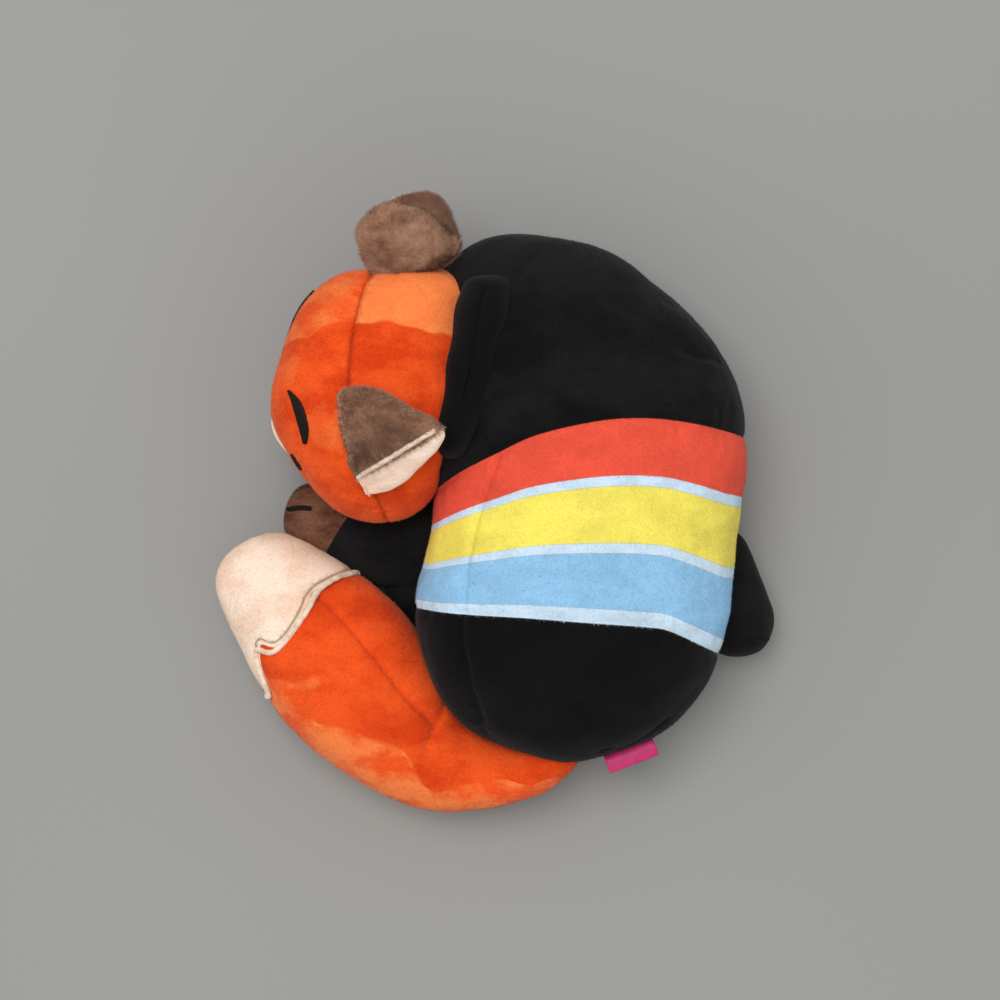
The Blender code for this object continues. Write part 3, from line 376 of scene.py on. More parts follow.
def build(name, points, faces, finish):
    """An object of a mesh, with its faces turned outwards."""
    data = bpy.data.meshes.new(name)
    data.from_pydata([tuple(spot) for spot in points], [], faces)
    cleaner = bmesh.new()
    cleaner.from_mesh(data)
    bmesh.ops.recalc_face_normals(cleaner, faces=cleaner.faces)
    cleaner.to_mesh(data)
    cleaner.free()
    data.shade_smooth()
    data.materials.append(finish)
    return added(name, data)


def rows_of(items, name):
    """What each item keeps under a name, as rows of three numbers."""
    flat = np.empty(len(items) * 3)
    items.foreach_get(name, flat)
    return flat.reshape(-1, 3)


def spots_of(piece):
    """The piece's vertex places as an array."""
    return rows_of(piece.data.vertices, "co")


def set_spots(piece, points):
    """Move the piece's vertices to new places."""
    piece.data.vertices.foreach_set("co", np.asarray(points, float).ravel())
    piece.data.update()


def ways_of(piece):
    """The piece's vertex normals as an array."""
    return rows_of(piece.data.vertex_normals, "vector")


def raise_skin(piece, amount):
    """Move the skin along its normals, but not below the floor."""
    made = spots_of(piece) + ways_of(piece) * amount[:, None]
    made[:, 2] = np.maximum(made[:, 2], 0)
    set_spots(piece, made)


def mark(piece, name, values):
    """Keep a value at each vertex, for the finish to read."""
    layer = piece.data.attributes.get(name) or piece.data.attributes.new(name, "FLOAT", "POINT")
    layer.data.foreach_set("value", np.asarray(values, np.float32))


def divide(piece, levels):
    """Round the mesh off with subdivision."""
    step = piece.modifiers.new("rounding", "SUBSURF")
    step.levels = step.render_levels = levels
    data = bpy.data.meshes.new_from_object(piece.evaluated_get(bpy.context.evaluated_depsgraph_get()))
    piece.modifiers.clear()
    old, piece.data = piece.data, data
    bpy.data.meshes.remove(old)
    data.name = piece.name
    data.shade_smooth()


def swell(piece, held, cap):
    """Blow the skin up between its seams with a cloth simulation; held is 1 where a seam holds it."""
    rest = spots_of(piece)
    group = piece.vertex_groups.new(name="held")
    for index, value in enumerate(held):
        group.add([index], float(value), "REPLACE")
    cloth = piece.modifiers.new("cloth", "CLOTH")
    cloth.settings.quality = 6
    cloth.settings.mass = 0.001
    cloth.settings.air_damping = 0.2
    cloth.settings.tension_stiffness = 4
    cloth.settings.compression_stiffness = 4
    cloth.settings.shear_stiffness = 3
    cloth.settings.bending_stiffness = 0.05
    cloth.settings.vertex_group_mass = "held"
    cloth.settings.use_pressure = True
    cloth.settings.uniform_pressure_force = PRESSURE
    cloth.settings.effector_weights.gravity = 0
    cloth.collision_settings.use_collision = False
    scene = bpy.context.scene
    cloth.point_cache.frame_end = SIM_FRAMES
    for tick in range(1, SIM_FRAMES + 1):
        scene.frame_set(tick)
    shown = piece.evaluated_get(bpy.context.evaluated_depsgraph_get())
    move = rows_of(shown.data.vertices, "co") - rest
    piece.modifiers.clear()
    piece.vertex_groups.clear()
    scene.frame_set(1)
    far = np.linalg.norm(move, axis=1, keepdims=True)
    move *= np.minimum(1, cap / np.maximum(far, 1e-9))
    made = rest + move
    made[:, 2] = np.maximum(made[:, 2], 0)
    set_spots(piece, made)


def tree_of(piece):
    """The piece's surface, ready for rays and nearest points."""
    return BVHTree.FromPolygons([tuple(spot) for spot in spots_of(piece)],
                                [tuple(face.vertices) for face in piece.data.polygons])


def laid(tree, pixels, density=6, rim=True):
    """A line of pixels in the picture's frame, laid on a form as the camera sees it.

    A pixel beside the form falls on its rim, or is left out where rim is False.
    """
    line = curve(pixels, np.linspace(0, 1, len(pixels) * density))
    found = []
    for across, down in line:
        way = Vector(((across - IMAGE / 2) * PITCH, (IMAGE / 2 - down) * PITCH, PLANE - CAMERA.z))
        spot = tree.ray_cast(CAMERA, way.normalized())[0]
        if spot is None and rim:
            spot = tree.find_nearest(CAMERA + way)[0]
        if spot is not None:
            found.append(tuple(spot))
    return np.array(found)


def lifted(tree, line, height):
    """A line moved to a form, and raised from it."""
    made = []
    for spot in line:
        near, way, _, _ = tree.find_nearest(Vector(spot))
        made.append(np.array(near + way * height))
    return np.array(made)


def reach_of(points, line):
    """Each point's distance to a line, and how far along the line it is."""
    best = np.full(len(points), 1e9)
    where = np.zeros(len(points))
    run = 0.0
    for start, end in zip(line[:-1], line[1:]):
        step = end - start
        size = np.linalg.norm(step)
        if size < 1e-9:
            continue
        share = np.clip((points - start) @ step / size ** 2, 0, 1)
        gap = np.linalg.norm(points - start - share[:, None] * step, axis=1)
        nearer = gap < best
        best = np.where(nearer, gap, best)
        where = np.where(nearer, run + share * size, where)
        run += size
    return best, where


def seam(points, line, depth, width, pucker=0.0):
    """How far a sewn seam draws the skin in, with the small puckers beside it."""
    gap, along = reach_of(points, line)
    pull = -depth * bell(gap, width) - depth * 0.45 * bell(gap, width * 3.4)
    waves = np.sin(along / 0.0062 * math.tau + 2 * np.sin(along / 0.019 * math.tau))
    return pull + pucker * waves * bell(gap - width * 1.6, width * 2.2)


# Finishes
class Finish:
    """A material's nodes, joined with short calls."""

    def __init__(self, name):
        self.material = bpy.data.materials.new(name)
        self.material.use_nodes = True
        self.nodes = self.material.node_tree.nodes
        self.links = self.material.node_tree.links
        self.shader = self.nodes["Principled BSDF"]
        self.place = self.nodes.new("ShaderNodeTexCoord").outputs["Object"]

    def put(self, value, socket):
        """Join a socket, or set a number or a colour."""
        if isinstance(value, bpy.types.NodeSocket):
            self.links.new(value, socket)
        else:
            socket.default_value = (*value, 1) if isinstance(value, tuple) and len(value) == 3 else value

    def noise(self, scale, detail=2.0, stretch=None, rough=0.5):
        """Random values in lumps; a larger scale gives smaller lumps."""
        node = self.nodes.new("ShaderNodeTexNoise")
        node.inputs["Scale"].default_value = scale
        node.inputs["Detail"].default_value = detail
        node.inputs["Roughness"].default_value = rough
        place = self.place
        if stretch is not None:
            turn = self.nodes.new("ShaderNodeMapping")
            turn.inputs["Scale"].default_value = stretch
            self.links.new(place, turn.inputs["Vector"])
            place = turn.outputs["Vector"]
        self.links.new(place, node.inputs["Vector"])
        return node.outputs["Fac"]

    def kept(self, name):
        """The value that mark kept at each vertex."""
        node = self.nodes.new("ShaderNodeAttribute")
        node.attribute_name = name
        return node.outputs["Fac"]

    def math(self, kind, first, second=0.0):
        """Arithmetic on values or numbers."""
        node = self.nodes.new("ShaderNodeMath")
        node.operation = kind
        self.put(first, node.inputs[0])
        self.put(second, node.inputs[1])
        return node.outputs[0]

    def span(self, value, low, high, to_low=0.0, to_high=1.0):
        """The value's range from low to high, turned into another range."""
        node = self.nodes.new("ShaderNodeMapRange")
        self.put(value, node.inputs["Value"])
        ends = {"From Min": low, "From Max": high, "To Min": to_low, "To Max": to_high}
        for socket, number in ends.items():
            node.inputs[socket].default_value = number
        return node.outputs["Result"]

    def scaled(self, colour, share):
        """A colour times a share, which both may vary over the surface."""
        node = self.nodes.new("ShaderNodeVectorMath")
        node.operation = "SCALE"
        if isinstance(colour, tuple):
            node.inputs[0].default_value = colour
        else:
            self.links.new(colour, node.inputs[0])
        self.links.new(share, node.inputs["Scale"])
        return node.outputs[0]

    def mix(self, share, first, second):
        """The first colour where the share is 0, the second where it is 1."""
        node = self.nodes.new("ShaderNodeMix")
        node.data_type = "RGBA"
        self.put(share, node.inputs["Factor"])
        self.put(first, node.inputs[6])
        self.put(second, node.inputs[7])
        return node.outputs[2]

    def bump(self, height, strength, distance):
        """Small relief in the shading."""
        node = self.nodes.new("ShaderNodeBump")
        node.inputs["Strength"].default_value = strength
        node.inputs["Distance"].default_value = distance
        self.links.new(height, node.inputs["Height"])
        self.links.new(node.outputs["Normal"], self.shader.inputs["Normal"])

    def close(self, colour, roughness=0.95, sheen=0.0, sheen_colour=(1, 1, 1), shine=0.15):
        """The finished material."""
        self.put(colour, self.shader.inputs["Base Color"])
        self.shader.inputs["Roughness"].default_value = roughness
        self.shader.inputs["Specular IOR Level"].default_value = shine
        self.shader.inputs["Sheen Weight"].default_value = sheen
        self.shader.inputs["Sheen Tint"].default_value = (*sheen_colour, 1)
        self.shader.inputs["Sheen Roughness"].default_value = 0.5
        return self.material


def pile_colour(look, colour, deep, light, patch=55.0):
    """Brushed pile: broad lighter and darker strokes, with fine fibres over them."""
    strokes = look.span(look.noise(patch, 4.0, (1.0, 1.6, 1.2), 0.6), 0.40, 0.58)
    base = look.mix(strokes, deep, colour)
    touches = look.span(look.noise(patch * 0.6, 4.0, (1.4, 1.0, 1.0), 0.6), 0.54, 0.70, 0.0, 0.45)
    base = look.mix(touches, base, light)
    return look.scaled(base, look.math("ADD", look.span(look.noise(1500.0), 0.30, 0.70, 0.92, 1.08),
                                       look.kept("tint")))


def pile_bump(look, strength=0.55, distance=0.0005):
    """The fine relief of a short pile."""
    fine = look.math("MULTIPLY", look.noise(1300.0, 3.0), 0.6)
    broad = look.math("MULTIPLY", look.noise(300.0), 0.4)
    look.bump(look.math("ADD", fine, broad), strength, distance)


def dimmed(colour, share):
    """A plain colour with less light."""
    return tuple(value * share for value in colour)


def plush(name, colour, deep, light, patch=55.0, sheen=0.35, sheen_colour=(1, 1, 1)):
    """Short-pile fabric of one colour."""
    look = Finish(name)
    pile_bump(look)
    return look.close(pile_colour(look, colour, deep, light, patch), sheen=sheen, sheen_colour=sheen_colour)


def head_finish():
    """Orange pile: the face panel is deeper, and where the nap behind the seam lies the other way it is
    painted lighter, as painted sheen.
    """
    look = Finish("head_pile")
    pile_bump(look)
    face = pile_colour(look, ORANGE, ORANGE_DEEP, ORANGE_LIGHT, 44.0)
    back = pile_colour(look, ORANGE, ORANGE_DEEP, ORANGE, 40.0)
    # Painted sheen: the pile past the edge line is painted lighter where its nap lies the other way
    nap_and_sheen = look.span(look.kept("nap_and_sheen"), 0.35, 0.65)
    pale = pile_colour(look, ORANGE_LIGHT, ORANGE, ORANGE_LIGHT, 60.0)
    back = look.mix(nap_and_sheen, back, look.mix(0.75, pale, ORANGE_LIGHT))
    face = look.mix(look.math("MULTIPLY", nap_and_sheen, 0.55), face, pale)
    behind = look.kept("behind")
    colour = look.mix(look.span(behind, -0.0002, 0.0002), face, back)
    # Painted shade: the pile along the seam is darkened, as shade in its groove
    seam_shade = look.span(look.math("ABSOLUTE", behind), 0.0002, 0.0008, 0.4, 0.0)
    colour = look.mix(seam_shade, colour, dimmed(ORANGE_DEEP, 0.45))
    return look.close(colour, sheen=0.25, sheen_colour=(1.0, 0.55, 0.3))


def tail_finish():
    """Orange pile with a cream tip, painted sheen on one side of the tail and a painted shadow line on the
    cream beside the tip's seam.
    """
    look = Finish("tail_pile")
    pile_bump(look)
    orange = pile_colour(look, ORANGE, ORANGE_DEEP, ORANGE, 42.0)
    pale = pile_colour(look, ORANGE_LIGHT, ORANGE, ORANGE_LIGHT, 60.0)
    # Painted sheen: the side of the tail facing one way is painted paler
    orange = look.mix(look.span(look.kept("nap_and_sheen"), 0.35, 0.65, 0.0, 0.8), orange, pale)
    cream = pile_colour(look, CREAM, CREAM_DEEP, CREAM, 50.0)
    tip = look.kept("tip")
    # Painted shadow: a darker line on the cream just past the piping at the tip's seam
    from_shadow_line = look.math("ABSOLUTE", look.math("SUBTRACT", tip, 0.0019))
    cream = look.mix(look.span(from_shadow_line, 0.0002, 0.0007, 0.75, 0.0), cream, linear(128, 112, 84))
    colour = look.mix(look.span(tip, -0.00015, 0.00015), orange, cream)
    return look.close(colour, sheen=0.22, sheen_colour=(1.0, 0.65, 0.45))


# Where each stripe starts and ends across the band, and its colour
STRIPES = ((0.00, 0.275, RED), (0.275, 0.325, PALE), (0.325, 0.60, YELLOW), (0.60, 0.65, PALE),
           (0.65, 0.925, BLUE), (0.925, 1.0, PALE))


def jersey_finish():
    """Black pile with a band of stripes; the band mark runs from 0 to 1 across the stripes."""
    look = Finish("jersey_pile")
    pile_bump(look, 0.6)
    across = look.kept("band")
    colour = pile_colour(look, BLACK, BLACK_DEEP, BLACK, 30.0)
    colour = look.mix(look.span(across, 1.0, 1.02, 0.0, 0.7), colour, dimmed(BLACK_DEEP, 0.35))
    for low, high, stripe in STRIPES:
        inside = look.math("MULTIPLY", look.span(across, low - 0.0025, low + 0.0025),
                           look.span(across, high - 0.0025, high + 0.0025, 1.0, 0.0))
        colour = look.mix(inside, colour, pile_colour(look, stripe, dimmed(stripe, 0.88), stripe, 60.0))
    return look.close(colour, sheen=0.07, sheen_colour=(0.8, 0.8, 0.85))


def thread_finish(name, colour):
    """Satin stitches, with the glint of the thread."""
    look = Finish(name)
    look.bump(look.noise(2600.0, 1.0), 0.4, 0.0002)
    shade = look.span(look.noise(500.0), 0.3, 0.7, 0.7, 1.3)
    return look.close(look.scaled(colour, shade), roughness=0.7, shine=0.2)


# Pile that stands from the skin as fine mesh fibres
def fibres(name, piece, per_square_mm, size, lean, seed, marks, sag, only=None):
    """Fine tapered fibres over a piece, or over the part of it that only gives.

    Size is a fibre's length and width, lean the way the nap lies and sag how far it leans over.
    """
    length, width = size
    data = piece.data
    data.calc_loop_triangles()
    count = len(data.loop_triangles)
    corners = np.empty(count * 3, np.int32)
    data.loop_triangles.foreach_get("vertices", corners)
    corners = corners.reshape(-1, 3)
    points, ways = spots_of(piece), ways_of(piece)
    spots = points[corners]
    area = np.linalg.norm(np.cross(spots[:, 1] - spots[:, 0], spots[:, 2] - spots[:, 0]), axis=1) / 2
    if only is not None:
        area = area * only[corners].mean(axis=1)
    rng = np.random.default_rng(seed)
    total = int(area.sum() * 1e6 * per_square_mm)
    chosen = rng.choice(count, total, p=area / area.sum())
    share = rng.random((total, 2))
    flip = share.sum(axis=1) > 1
    share[flip] = 1 - share[flip]
    weights = np.stack([1 - share.sum(axis=1), share[:, 0], share[:, 1]], -1)[:, :, None]
    root = (spots[chosen] * weights).sum(axis=1)
    way = unit((ways[corners[chosen]] * weights).sum(axis=1))
    nap_and_sheen = np.asarray(lean, float) + np.stack([fog(root, 0.02, seed + k) for k in (1, 2, 3)], -1) * 0.35
    nap_and_sheen = nap_and_sheen + rng.normal(size=(total, 3)) * 0.2
    grow = way + unit(nap_and_sheen - way * (nap_and_sheen * way).sum(axis=1)[:, None]) * sag
    grow = unit(grow + rng.normal(size=(total, 3)) * 0.2)
    reach = length * rng.uniform(0.55, 1.1, total)[:, None]
    flat = np.cross(grow, way) + rng.normal(size=(total, 3)) * 0.25
    side = unit(flat - grow * (flat * grow).sum(axis=1)[:, None])
    facing = (np.cross(side, grow) * way).sum(axis=1)
    side = np.where(facing[:, None] < 0, -side, side)
    half = side * (width / 2)
    tip = root + grow * reach
    tip[:, 2] = np.maximum(tip[:, 2], 0.0002)
    root = root - way * 0.0003
    made = bpy.data.meshes.new(name)
    made.vertices.add(total * 3)
    made.vertices.foreach_set("co", np.stack([root - half, root + half, tip], 1).ravel())
    made.loops.add(total * 3)
    made.loops.foreach_set("vertex_index", np.arange(total * 3))
    made.polygons.add(total)
    made.polygons.foreach_set("loop_start", np.arange(total) * 3)
    made.update(calc_edges=True)
    made.shade_smooth()
    made.normals_split_custom_set_from_vertices([tuple(row) for row in np.repeat(way, 3, axis=0)])
    made.materials.append(data.materials[0])
    coat = added(name, made)
    mark(coat, "tint", np.repeat(rng.uniform(-0.26, 0.22, total), 3))
    for label in marks:
        source = np.empty(len(points), np.float32)
        data.attributes[label].data.foreach_get("value", source)
        mark(coat, label, np.repeat((source[corners[chosen]] * weights[:, :, 0]).sum(axis=1), 3))
    return coat


def stroke(name, points, ways, width, height, finish, profile=(0.35, 0.8, 1.0, 0.85, 0.4)):
    """A satin-stitched line: close threads laid across it."""
    line = np.asarray(points)
    length = np.linalg.norm(np.diff(line, axis=0), axis=1).sum()
    count = max(int(length / STITCH_PITCH), 12)
    share = np.linspace(0, 1, count)
    middle, up = curve(line, share), unit(curve(np.asarray(ways), share))
    ahead = unit(np.gradient(middle, axis=0))
    side = unit(np.cross(ahead, up))
    half = width / 2 * curve(profile, share)
    ridge = np.where(np.arange(count) % 2 == 0, 1.0, 0.72)
    across = np.linspace(-1, 1, 9)
    rows = []
    for step in range(count):
        bow = height * ridge[step] * np.sqrt(np.maximum(1 - across ** 2, 0)) + 0.0001
        rows.append(middle[step] + side[step] * (half[step] * across)[:, None] + up[step] * bow[:, None])
    over = np.array(rows)
    under = over[:, ::-1] - up[:, None, :] * STITCH_SINK
    rings = np.concatenate([over, under], axis=1)
    return build(name, rings.reshape(-1, 3), tube_faces(rings.shape[1], count), finish)


def piping(name, line, thickness, finish):
    """A thin sewn ridge along a line."""
    count = max(int(np.linalg.norm(np.diff(line, axis=0), axis=1).sum() / 0.0006), 8)
    middle = curve(line, np.linspace(0, 1, count))
    ahead = unit(np.gradient(middle, axis=0))
    side = unit(np.cross(ahead, np.array([0.12, 0.2, 0.97])))
    up = np.cross(side, ahead)
    around = 10
    turn = (math.tau * np.arange(around) / around)[:, None]
    rows = []
    for step in range(count):
        ending = min(1, (min(step, count - 1 - step) + 0.6) / 3)
        fat = thickness / 2 * (1 + 0.05 * np.sin(step * 0.9)) * ending
        rows.append(middle[step] + fat * (side[step] * np.cos(turn) + up[step] * np.sin(turn)))
    return build(name, np.vstack(rows), tube_faces(around, count), finish)


# Head
NECK_ACROSS = np.array([math.cos(NECK_LEAN), -math.sin(NECK_LEAN), 0])
head_puff = Puff(HEAD, HEAD_HALVES, HEAD_OUTLINE_SHARES, HEAD_CROWN, HEAD_DROP, 2.2)


def press_at_neck(points):
    """Flatten what would run past the neck."""
    past = np.maximum((points - np.array(NECK)) @ NECK_ACROSS, 0)
    return points - past[:, None] * NECK_ACROSS


def make_head():
    """The head's cover, with its seam from ear to ear and the marks that colour it."""
    points, faces = head_puff.mesh(20, 0.0012)
    piece = build("head_cover", press_at_neck(points), faces, head_finish())
    crown = laid(tree_of(piece), CROWN_SEAM)
    rest = spots_of(piece)
    gap, _ = reach_of(rest, crown)
    at_neck = (rest - np.array(NECK)) @ NECK_ACROSS > -0.004
    swell(piece, np.maximum(bell(gap, 0.004), at_neck), 0.0035)
    divide(piece, 3)
    tree = tree_of(piece)
    crown = laid(tree, CROWN_SEAM)
    low = crown[-1] + np.array([0.001, 0.004, -0.012])
    under = low + np.array([0.004, 0.020, -0.014])
    crown = np.vstack([crown, [low, under]])
    points = spots_of(piece)
    amount = seam(points, crown, 0.0016, 0.0009, 0.0003) + fog(points, 0.022, 3) * 0.0006
    amount += fog(points, 0.007, 4) * 0.00016 + fog(points, 0.003, 5) * 0.00005
    gap, _ = reach_of(points, laid(tree, EYE_HOLLOW))
    amount -= 0.0009 * bell(gap, 0.006)
    raise_skin(piece, amount)
    points = spots_of(piece)
    rising = crown[np.argsort(crown[:, 1])]
    ahead = np.interp(points[:, 1], rising[:, 1], rising[:, 0])
    mark(piece, "behind", points[:, 0] - ahead)
    # Past this line the pile is painted lighter: painted sheen where the nap lies the other way
    edge = laid(tree, NAP_SHEEN_EDGE)
    line = np.interp(points[:, 0], edge[:, 0], edge[:, 1])
    mark(piece, "nap_and_sheen", 0.5 + (points[:, 1] - line + fog(points, 0.006, 8) * 0.0007) / 0.004)
    return piece


head = make_head()
head_tree = tree_of(head)


# Body
torso_puff = Puff(TORSO, TORSO_HALVES, TORSO_OUTLINE_SHARES, TORSO_CROWN, TORSO_DROP, 2.3)


def plan_edge(table):
    """A band edge's places in plan, from a table of shares."""
    rows = np.array(table) * TORSO_HALVES + TORSO[:2]
    dense = curve(rows, np.linspace(0, 1, 200))
    return dense[:, 0], dense[:, 1]


BAND_TOP_EDGE = plan_edge(BAND_TOP_SHARES)
BAND_FOOT_EDGE = plan_edge(BAND_FOOT_SHARES)


def band_place(points):
    """How far across the band a point is: 0 at its edge by the shoulders, 1 at its edge by the rump."""
    top = np.interp(points[:, 0], *BAND_TOP_EDGE)
    foot = np.interp(points[:, 0], *BAND_FOOT_EDGE)
    return (top - points[:, 1]) / (top - foot)


def edge_line(edge, tree):
    """A band edge laid on the body, over its back and down its sides."""
    line = []
    for x, y in zip(edge[0][::3], edge[1][::3]):
        spot = tree.ray_cast(Vector((x, y, 0.2)), Vector((0, 0, -1)))[0]
        if spot is not None:
            line.append(tuple(spot))
    return np.array(line)


def held_at(points, lines, width, floor):
    """How firmly the skin is held: near its seams, and where it rests on the floor."""
    held = np.zeros(len(points))
    for line in lines:
        gap, _ = reach_of(points, line)
        held = np.maximum(held, 0.9 * bell(gap, width))
    return np.maximum(held, points[:, 2] < floor)


def make_torso():
    """The jersey over the body, with the sewn edges of its band, its side seam and its creases."""
    points, faces = torso_puff.mesh(26, 0.0012)
    piece = build("jersey_body", points, faces, jersey_finish())
    tree = tree_of(piece)
    lines = [edge_line(BAND_TOP_EDGE, tree), edge_line(BAND_FOOT_EDGE, tree), laid(tree, SIDE_SEAM)]
    swell(piece, held_at(spots_of(piece), lines, 0.0045, 0.004), 0.004)
    divide(piece, 2)
    tree = tree_of(piece)
    points = spots_of(piece)
    place = band_place(points)
    amount = np.zeros(len(points))
    for edge in (0.0, 1.0):
        gap = np.abs(place - edge) * BAND_WIDTH
        amount -= 0.0007 * bell(gap, 0.0012) + 0.0004 * bell(gap, 0.004)
        waves = np.sin(points[:, 0] / 0.0064 * math.tau + 2 * np.sin(points[:, 0] / 0.021 * math.tau))
        amount += 0.00018 * waves * bell(gap - 0.003, 0.003)
    amount += seam(points, laid(tree, SIDE_SEAM), 0.0010, 0.0013, 0.0002)
    for crease, depth in ((SHOULDER_CREASE, 0.0012), (BACK_CREASE, 0.0008), (RUMP_CREASE, 0.0008)):
        amount += seam(points, laid(tree, crease), depth, 0.0014)
    amount += fog(points, 0.035, 11) * 0.0011 + fog(points, 0.012, 12) * 0.00030
    amount += fog(points, 0.005, 13) * 0.00008
    raise_skin(piece, amount)
    mark(piece, "band", band_place(spots_of(piece)))
    return piece


torso = make_torso()


# Tail
tail_form = floor_limb(TAIL_ROOT, TAIL_SPAN, TAIL_PATH_SHARES, shares(TAIL_WIDTH, TAIL_WIDTH_SHARES),
                       shares(TAIL_HEIGHT, TAIL_HEIGHT_SHARES), TAIL_ROUND, TAIL_LIFT_SHARES)


def side_of(points, line):
    """Signed plan distance to a line: above 0 on its left."""
    gap = np.full(len(points), 1e9)
    sign = np.ones(len(points))
    flat = points[:, :2]
    for start, end in zip(line[:-1, :2], line[1:, :2]):
        step = end - start
        share = np.clip((flat - start) @ step / max(step @ step, 1e-12), 0, 1)
        off = flat - start - share[:, None] * step
        size = np.linalg.norm(off, axis=1)
        nearer = size < gap
        gap = np.where(nearer, size, gap)
        sign = np.where(nearer, np.sign(step[0] * off[:, 1] - step[1] * off[:, 0]), sign)
    return gap * np.where(sign == 0, 1, sign)


def tail_places(points):
    """Where points lie along the tail, the turn about it, and the metres to a whole step of place."""
    steps = np.linspace(0, 1, 161)
    middle, side, up = tail_form.frames(steps)
    speed = np.linalg.norm(np.gradient(middle, steps, axis=0), axis=1)
    best, nearest = np.full(len(points), 1e9), np.zeros(len(points), int)
    for index, spot in enumerate(middle):
        gap = ((points - spot) ** 2).sum(axis=1)
        nearest = np.where(gap < best, index, nearest)
        best = np.minimum(gap, best)
    off = points - middle[nearest]
    along = np.cross(side, up)[nearest]
    place = steps[nearest] + (off * along).sum(axis=1) / speed[nearest]
    turn = np.arctan2((off * up[nearest]).sum(axis=1), (off * side[nearest]).sum(axis=1))
    return place, turn, speed[nearest]


class TipSeam:
    """The scalloped seam of the tail's tip, as a place along the tail for each turn about it."""

    def __init__(self, seen):
        place, turn, _ = tail_places(seen)
        order = np.argsort(turn)
        self.dense = np.linspace(-math.pi, math.pi, 721)
        places = np.interp(self.dense[:-1], turn[order], place[order], period=math.tau)
        places = smoothed(places, 14, 7.0)
        self.places = np.append(places, places[0])

    def loop(self, tree):
        """The seam's line on the tail, from the floor over the top and down to the floor."""
        turns = np.linspace(-0.5, math.pi + 0.5, 121)
        guess = tail_form.points(np.interp(turns, self.dense, self.places, period=math.tau), turns)
        line = lifted(tree, guess, 0.0)
        return line[line[:, 2] > 0.004]

    def past(self, points):
        """How far points are past the seam, towards the tail's end."""
        place, turn, speed = tail_places(points)
        slope = np.gradient(self.places, self.dense)
        lean = np.interp(turn, self.dense, slope, period=math.tau) * speed / TAIL_RADIUS
        ahead = place - np.interp(turn, self.dense, self.places, period=math.tau)
        return ahead * speed / np.sqrt(1 + lean ** 2)


def make_tail():
    """The tail's cover with its ridge, and the line of the piping at its tip's seam."""
    points, faces = tail_form.mesh(36, 34, 0.0010)
    piece = build("tail_cover", points, faces, tail_finish())
    tree = tree_of(piece)
    lines = (laid(tree, TAIL_SEAM), laid(tree, TIP_SEAM))
    swell(piece, held_at(spots_of(piece), lines, 0.0035, 0.003), 0.003)
    divide(piece, 3)
    tree = tree_of(piece)
    ridge, scallop = laid(tree, TAIL_SEAM, 8), TipSeam(laid(tree, TIP_SEAM, 8, False))
    tip = scallop.loop(tree)
    roll = lifted(tree, tip, -0.0003)
    points, ways = spots_of(piece), ways_of(piece)
    amount = seam(points, ridge, 0.0013, 0.0010, 0.0003) + seam(points, tip, 0.0009, 0.0016)
    amount += seam(points, laid(tree, TAIL_ROOT_CREASE), 0.0010, 0.0016)
    amount += fog(points, 0.024, 21) * 0.0007 + fog(points, 0.008, 22) * 0.00018
    raise_skin(piece, amount)
    mark(piece, "tip", scallop.past(spots_of(piece)))
    # Painted light: the side whose normals face this way is marked to be painted paler, as sheen
    lit_side = ways @ np.array([-0.20, -0.86, 0.25]) + fog(points, 0.012, 23) * 0.10
    mark(piece, "nap_and_sheen", 0.5 + (lit_side - 0.52) / 0.12)
    return piece, roll


tail, tip_roll = make_tail()


# Legs
def leg_form(root, span, path, width, width_shares, end_round=LEG_ROUND):
    """A leg as high as it is wide."""
    half_widths = shares(width, width_shares)
    return floor_limb(root, span, path, half_widths, half_widths, end_round)


near_leg_form = leg_form(NEAR_SHOULDER, NEAR_LEG_SPAN, NEAR_LEG_PATH_SHARES, NEAR_LEG_WIDTH,
                         NEAR_LEG_WIDTH_SHARES)
far_leg_form = floor_limb(FAR_SHOULDER, FAR_LEG_SPAN, FAR_LEG_PATH_SHARES,
                          shares(FAR_LEG_WIDTH, FAR_LEG_WIDTH_SHARES),
                          shares(FAR_LEG_HEIGHT, FAR_LEG_HEIGHT_SHARES), LEG_ROUND)
hind_leg_form = leg_form(HIP, HIND_LEG_SPAN, HIND_LEG_PATH_SHARES, HIND_LEG_WIDTH, HIND_LEG_WIDTH_SHARES)
inner_leg_form = leg_form(INNER_HIP, INNER_LEG_SPAN, INNER_LEG_PATH_SHARES, INNER_LEG_WIDTH,
                          INNER_LEG_WIDTH_SHARES, LEG_ROUND / 2)


def leg_finish(name, cuff):
    """Black pile, with a brown paw past the cuff."""
    look = Finish(name)
    pile_bump(look)
    sleeve = pile_colour(look, BLACK, BLACK_DEEP, BLACK, 30.0)
    paw = pile_colour(look, PAW, PAW_DEEP, PAW_LIGHT, 90.0)
    colour = look.mix(look.span(look.kept("along"), cuff - 0.003, cuff + 0.003), sleeve, paw)
    return look.close(colour, sheen=0.05, sheen_colour=(0.9, 0.85, 0.8))


def make_leg(name, form, cuff, seed, around=28, along=26):
    """A leg's cover, and how far along the leg each point is; a cuff past 1 gives no paw."""
    points, faces = form.mesh(around, along, 0.0005)
    piece = build(name, points, faces, leg_finish(f"{name}_pile", cuff))
    divide(piece, 1)
    points = spots_of(piece)
    steps = curve(form.path, np.linspace(0, 1, 121))
    ahead = unit(np.gradient(steps, axis=0))
    nearest = np.argmin(((points[:, None, :] - steps[None]) ** 2).sum(-1), axis=1)
    place = nearest / 120 + ((points - steps[nearest]) * ahead[nearest]).sum(1) / form.length
    amount = fog(points, 0.012, seed) * 0.0004 + fog(points, 0.005, seed + 1) * 0.0001
    amount -= 0.0009 * bell((place - cuff) * form.length, 0.0013)
    raise_skin(piece, amount)
    mark(piece, "along", place)
    return piece, place


